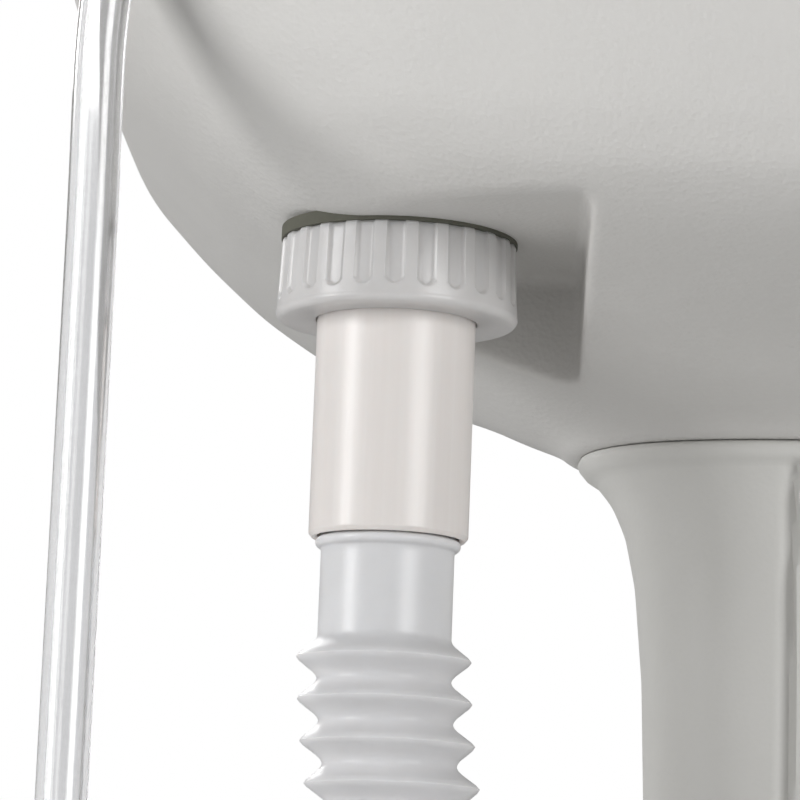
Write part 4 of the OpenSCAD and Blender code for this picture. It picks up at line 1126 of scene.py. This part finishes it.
drain_top = dish_z + 3.45 * mm
drain_body = turned("drain_flange", closed(outline(
    (pipe_r + mm, nut_z + 6.4 * mm, 0.3 * mm), (25 * mm, nut_z + 6.4 * mm, 0.6 * mm),
    (25 * mm, dish_z + 1.05 * mm), (30.6 * mm, dish_z + 1.05 * mm, 0.4 * mm),
    (30.6 * mm, dish_z + 1.7 * mm, 0.5 * mm),
    (29 * mm, drain_top, 1.2 * mm), (24.4 * mm, drain_top, mm), (23 * mm, drain_top - 1.6 * mm, mm),
    (23 * mm, dish_z - 2 * mm, 0.5 * mm), (pipe_r + mm, dish_z - 2 * mm, 0.6 * mm),
)), drain.x, drain.y, 128)
place(drain_body, steel, "steel", stands_for=["drain_body"])
strainer_z, strainer_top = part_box("strainer")[0].z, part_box("strainer")[1].z
strainer = turned("strainer_plate", closed(outline(
    (0.05 * mm, strainer_z), (21.5 * mm, strainer_z, 0.5 * mm),
    (22.5 * mm, strainer_z + 0.9 * mm, 0.5 * mm),
    (22.5 * mm, strainer_z + 5 * mm, 0.5 * mm), (21.1 * mm, strainer_z + 5 * mm, 0.5 * mm),
    (21.1 * mm, strainer_z + 1.6 * mm, 1.2 * mm), (4.4 * mm, strainer_z + 1.6 * mm, 1.2 * mm),
    (3.2 * mm, strainer_top - 4 * mm, 0.8 * mm), (6.5 * mm, strainer_top - 3 * mm, 0.8 * mm),
    (6.5 * mm, strainer_top, mm), (0.05 * mm, strainer_top)
)), drain.x, drain.y, 72)
hole_r = 1.5 * mm
for radius, count in ((8.2 * mm, 8), (12.8 * mm, 12), (17.4 * mm, 16)):
    for i in range(count):
        a = tau * (i + 0.5) / count
        hole_x, hole_y = drain.x + radius * cos(a), drain.y + radius * sin(a)
        drilled(strainer, (hole_x, hole_y, hole_r, strainer_z - mm, strainer_z + 3 * mm))
place(strainer, steel, "steel", "strainer_body", ["strainer"])
dressed(steel, "axle", "pump_screws", "column_foot_screws", "column_top_screws", "shell_screws")


# ---- Faucet ----
# A chromed brass faucet stands on the rear deck: a round base with a waisted stem, a gooseneck that swivels
# in it on a rubber ring, and a knurled aerator. Its threaded tail passes the deck and takes the hose.

chrome, at = coating("chrome_plate")
smear = at.noise(26 * mm, 6)
orange_peel = at.noise(3 * mm, 2)
at.surface(
    Base_Color=at.between((0.80, 0.81, 0.83), (0.88, 0.89, 0.90), smear.ramp(0.3, 0.7)),
    Metallic=1.0,
    Roughness=0.05 + smear.ramp(0.45, 0.8) * 0.09,
    Normal=at.bump(orange_peel, 0.006 * mm),
)
tail_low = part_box("faucet_body")[0].z
shank_z = hang_z + 121 * mm
threads = []
for crest in range(9):
    z = shank_z + (3 + 1.5 * crest) * mm
    threads += [(10 * mm, z), (9.3 * mm, z + 0.6 * mm), (10 * mm, z + 1.2 * mm)]
spout_tube = 8 * mm
socket_r, socket_z = spout_tube + 0.05 * mm, rim_z - 4 * mm
faucet = turned("faucet_base", closed(outline(
    (2.5 * mm, tail_low, 0.3 * mm), (3.4 * mm, tail_low, 0.3 * mm),
    (3.95 * mm, tail_low + 4 * mm, 0.3 * mm), (3.4 * mm, tail_low + 4.4 * mm),
    (3.95 * mm, tail_low + 8.4 * mm, 0.3 * mm), (3.4 * mm, tail_low + 8.8 * mm),
    (3.95 * mm, tail_low + 12.8 * mm, 0.3 * mm), (3.6 * mm, shank_z), (9.2 * mm, shank_z), *threads,
    (10 * mm, rim_z), (22.6 * mm, rim_z, 0.4 * mm), (22.6 * mm, rim_z + 2.4 * mm, 1.4 * mm),
    (15.5 * mm, rim_z + 5.6 * mm, 3 * mm), (12 * mm, rim_z + 12 * mm, 5 * mm),
    (12.2 * mm, rim_z + 19 * mm, 3 * mm), (13.5 * mm, rim_z + 21.6 * mm, 0.6 * mm),
    (13.5 * mm, rim_z + 25 * mm, 0.7 * mm), (socket_r, rim_z + 25 * mm, 0.4 * mm),
    (socket_r, socket_z), (2.5 * mm, socket_z),
)), tail_x, tail_y)
place(faucet, chrome, "chrome", stands_for=["faucet_body"])
spout_r = 58 * mm
spout_top = rim_z + 104 * mm
swing = radians(-105)
along = Vector((cos(swing), sin(swing), 0))
foot = Vector((tail_x, tail_y, 0))
neck_line = [foot + Vector((0, 0, z)) for z in np.linspace(rim_z - 3 * mm, spout_top, 16)]
neck_line += [foot + along * spout_r * (1 - cos(a)) + Vector((0, 0, spout_top + spout_r * sin(a)))
              for a in np.linspace(0, pi, 49)[1:]]
tip = foot + along * 2 * spout_r
neck_line += [tip + Vector((0, 0, spout_top - z)) for z in np.linspace(1, 14, 6) * mm]
spout = swept("spout_gooseneck", neck_line, spout_tube, 48, 6 * mm)
place(spout, chrome, "chrome", "spout_body", ["spout"], 60)
collar = turned("spout_collar", closed(outline(
    (spout_tube - 0.3 * mm, rim_z + 25.3 * mm), (12.5 * mm, rim_z + 25.3 * mm, 0.6 * mm),
    (12.5 * mm, rim_z + 28 * mm, 1.5 * mm), (10.4 * mm, rim_z + 30 * mm, 1.5 * mm),
    (10 * mm, rim_z + 35.3 * mm, 1.4 * mm), (spout_tube - 0.3 * mm, rim_z + 35.3 * mm)
)), tail_x, tail_y)
place(collar, chrome, "chrome", "spout_body")
tip_z = spout_top - 24 * mm
ribs = 44
turn = np.linspace(0, tau, ribs * 6, endpoint=False)
knurl = 0.3 * mm * np.clip(np.cos(turn * ribs) + 0.4, 0, 1)
rings = []
for z, radius, share in (
    (3, 1.2, 0), (3, 6.4, 0), (2.6, 6.8, 0), (0.5, 7, 0), (0, 7.5, 0), (0, 9, 0), (0.3, 9.8, 0),
    (0.9, 10.1, 0), (4, 10.2, 0), (4.6, 10.2, 0), (5, 10.2, 1), (12.4, 10.2, 1), (12.8, 10.2, 0),
    (16.6, 10.2, 0), (17.6, 9.8, 0), (18, 9.2, 0), (18, 8.05, 0), (8, 8.05, 0), (8, 7, 0), (5, 7, 0),
    (5, 1.2, 0),
):
    rings.append(circle(tip.x, tip.y, tip_z + z * mm, radius * mm + knurl * share, turn))
aerator = skin("aerator_knurled", rings, loop=True)
place(aerator, chrome, "chrome", "spout_body", ["aerator"], 40)
brass = brushed("machined_brass", (0.80, 0.62, 0.30), (0.66, 0.50, 0.23), 0.26, (0.3, 0.3, 3), 0.8 * mm)
dressed(brass, "faucet_nut")


# ---- Hose clamps ----
# A worm-drive band clamp closes the clear hose on the barb at each end: a slotted steel band, a pressed
# housing and a slotted screw.

band = turned("clamp_band_lower", closed(outline(
    (6.05 * mm, 0), (6.9 * mm, 0, 0.2 * mm), (6.9 * mm, 6 * mm, 0.2 * mm), (6.05 * mm, 6 * mm)
)))
worm_x, half_band = 9.3 * mm, 3 * mm
bpy.ops.object.select_all(action="DESELECT")
bpy.ops.mesh.primitive_cube_add(
    size=1, location=(9.1 * mm, 0, half_band), scale=(4.4 * mm, 4 * mm, 5.4 * mm)
)
shell = bpy.context.object
bpy.ops.object.transform_apply(location=True, scale=True)
bpy.ops.object.mode_set(mode="EDIT")
bpy.ops.mesh.select_all(action="SELECT")
bpy.ops.mesh.bevel(offset=mm, segments=4, affect="EDGES")
bpy.ops.object.mode_set(mode="OBJECT")
bpy.ops.mesh.primitive_cylinder_add(
    vertices=48, radius=1.7 * mm, depth=4 * mm, location=(worm_x, 0, half_band), rotation=(pi / 2, 0, 0)
)
worm = bpy.context.object
bpy.ops.mesh.primitive_cube_add(
    size=1, location=(worm_x, -2 * mm, half_band), scale=(3.6 * mm, 0.8 * mm, 0.6 * mm)
)
slot_cutter = bpy.context.object
hardened(worm, "BOOLEAN", operation="DIFFERENCE", object=slot_cutter, solver="EXACT")
bpy.data.objects.remove(slot_cutter)
joined(band, shell, worm)
other = copied(band, (tail_x, tail_y, hang_z + 109 * mm))
other.name = "clamp_band_upper"
band.location = (barb.x, barb.y, deck_z + 9 * mm)
place(band, steel, "steel", "frame", ["hose_clamps"])
place(other, steel, "steel")


# ---- Soap dispenser ----
# A white bottle with flat sides stands on the rear deck. A ribbed collar screws on its neck and carries the
# pump: a spring under a head whose nozzle points at the bowl.

soap = middle("soap_bottle")
bottle_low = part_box("soap_bottle")[0].z
bottle_h = 104 * mm
straight, side_r = 14 * mm, 19 * mm
turn = np.linspace(0, tau, 144, endpoint=False)
offset = straight * np.clip(np.cos(turn) * 8, -1, 1)


def bottle_ring(z, inset, to_neck=0, neck=0):
    """The bottle's section at a height, drawn in by inset or part of the way to its round neck."""
    wide_x, wide_y = offset + (side_r - inset) * np.cos(turn), (side_r - inset) * np.sin(turn)
    x = wide_x * (1 - to_neck) + neck * np.cos(turn) * to_neck
    y = wide_y * (1 - to_neck) + neck * np.sin(turn) * to_neck
    return np.column_stack([soap.x + x, soap.y + y, turn * 0 + bottle_low + z])


rings = [bottle_ring(mm, 17 * mm), bottle_ring(mm, 6 * mm), bottle_ring(0, 4.6 * mm)]
rings += [bottle_ring(3 * mm * (1 - sin(a)), 3 * mm * (1 - cos(a))) for a in np.linspace(pi / 2, 0, 7)]
rings += [bottle_ring(z, 0) for z in np.linspace(4 * mm, bottle_h - 6 * mm, 12)]
shoulder = 5 * mm
rings += [
    bottle_ring(bottle_h - shoulder + shoulder * sin(a), shoulder * (1 - cos(a)))
    for a in np.linspace(0, 1.35, 9)
]
for t in (0.3, 0.55, 0.8, 1):
    rings.append(bottle_ring(bottle_h + 4.4 * mm * t ** 1.4, shoulder, t, 11.6 * mm))
for z, radius in ((5, 11), (16.6, 11), (17, 10.6), (17, 8.5), (-2, 8.5)):
    rings.append(bottle_ring(bottle_h + z * mm, 0, 1, radius * mm))
for z, inset in ((-2.4, 9), (-5, 3), (-9, 2)):
    rings.append(bottle_ring(bottle_h + z * mm, inset * mm))
for z, inset in ((6, 2), (3, 4), (2.4, 8), (2.4, 17)):
    rings.append(bottle_ring(z * mm, inset * mm))
bottle = skin("soap_bottle_blown", rings, loop=True)
bottle_white = milky("bottle_polyethylene", (0.9, 0.9, 0.88), (0.86, 0.86, 0.84), 0.25, 0.24)
place(bottle, bottle_white, "bottle_plastic", "soap_body", ["soap_bottle"], 40)
collar_z = bottle_low + bottle_h + 5.4 * mm
collar = ribbed("soap_collar_ribbed", [(z * mm, radius * mm, share) for z, radius, share in (
    (-16, 5.1, 0), (-16, 7, 0), (-0.2, 7, 0), (11.9, 7, 0), (11.9, 11.1, 0), (0.5, 11.1, 0), (0, 11.5, 0),
    (0, 12.8, 0), (0.6, 13.3, 0.6), (1.2, 13.4, 1), (11.5, 13.4, 1), (12.4, 13.2, 0.4), (13.3, 12.5, 0),
    (14, 11, 0), (14, 8.4, 0), (14.6, 8, 0), (18.4, 7.8, 0), (19, 7.2, 0), (19, 3.55, 0), (5, 3.55, 0),
    (5, 5.1, 0), (-15.9, 5.1, 0),
)], 36, 0.55 * mm)
collar.location = (soap.x, soap.y, collar_z)
white = moulded_plastic("white_polypropylene", (0.84, 0.84, 0.82), (0.8, 0.8, 0.78), 0.3)
place(collar, white, "white_plastic", "soap_body", ["soap_collar"], 40)
head_z = bottle_low + bottle_h + 24.4 * mm
nozzle_at = Vector((soap.x, soap.y, head_z + 17 * mm))
nozzle_reach, nozzle_droop = 40 * mm, 4.4 * mm
reach = np.linspace(0, 1, 24)
nozzle_line = [nozzle_at + Vector((0, -nozzle_reach * t, -nozzle_droop * t ** 2)) for t in reach]
for a in (0.6, 1.1):
    down = nozzle_droop + 2 * mm * (1 - cos(a)) + 0.6 * mm
    nozzle_line.append(nozzle_at + Vector((0, -nozzle_reach - 2 * mm * sin(a), -down)))
radii = [4.6 * mm - 1.2 * mm * t for t in reach] + [3.3 * mm, 3.2 * mm]
nozzle = swept("soap_nozzle", nozzle_line, radii, 32, 1.5 * mm)
head = turned("soap_head_button", closed(outline(
    (1.5 * mm, head_z - 15 * mm), (5 * mm, head_z - 15 * mm, 0.3 * mm),
    (5 * mm, head_z - 12 * mm, 0.3 * mm), (3.5 * mm, head_z - 12 * mm), (3.5 * mm, head_z + 12 * mm),
    (9.2 * mm, head_z + 12 * mm, 0.8 * mm), (9.6 * mm, head_z + 16 * mm, 2 * mm),
    (8.6 * mm, head_z + 22 * mm, 1.6 * mm), (6 * mm, head_z + 22 * mm, mm),
    (4 * mm, head_z + 21.2 * mm, 1.5 * mm), (0.05 * mm, head_z + 21 * mm),
    (0.05 * mm, head_z + 14 * mm), (1.5 * mm, head_z + 14 * mm)
)), soap.x, soap.y)
place(head, white, "white_plastic", "soap_head_body", ["soap_head"])
place(nozzle, white, "white_plastic", "soap_head_body", crease=60)
soap_low, soap_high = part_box("soap_spring")
wire = 0.4 * mm
coil_r = (soap_high.x - soap_low.x) / 2 - wire
soap_spring = coil("soap_return_spring", soap.x, soap.y, soap_low.z, soap_high.z, coil_r, wire, 6)
place(soap_spring, steel, "steel", "soap_body", ["soap_spring"], 60)
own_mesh(soap_spring)


# ---- Seals and inner parts ----
# The rings, valves, pump inside and pipes that the outer pieces hide keep their plain turned shapes, in
# rubber and white plastic.

dressed(rubber, "filler_gasket", "waste_gasket", "pump_gasket", "piston_seal", "inlet_valve")
dressed(rubber, "outlet_valve", "bowl_gasket", "slip_washer", "hose_seal", "faucet_washer", "spout_ring")
# The pad gasket is real rubber, but its dark olive colour is also painted shade: it stands in for the
# shadow in the gap between the drain nut's top and the casing's pad.
gap_shade_gasket_rubber = moulded_plastic(
    "dark_gasket_rubber_painted_gap_shade", (0.14, 0.14, 0.11), (0.10, 0.10, 0.08), 0.7, 1.2 * mm, 0.06 * mm, 0.3
)
dressed(gap_shade_gasket_rubber, "pad_gasket")
dressed(white, "suction_strainer", "feed_pipe", "deck_barb", "pump_piston", "soap_tube")
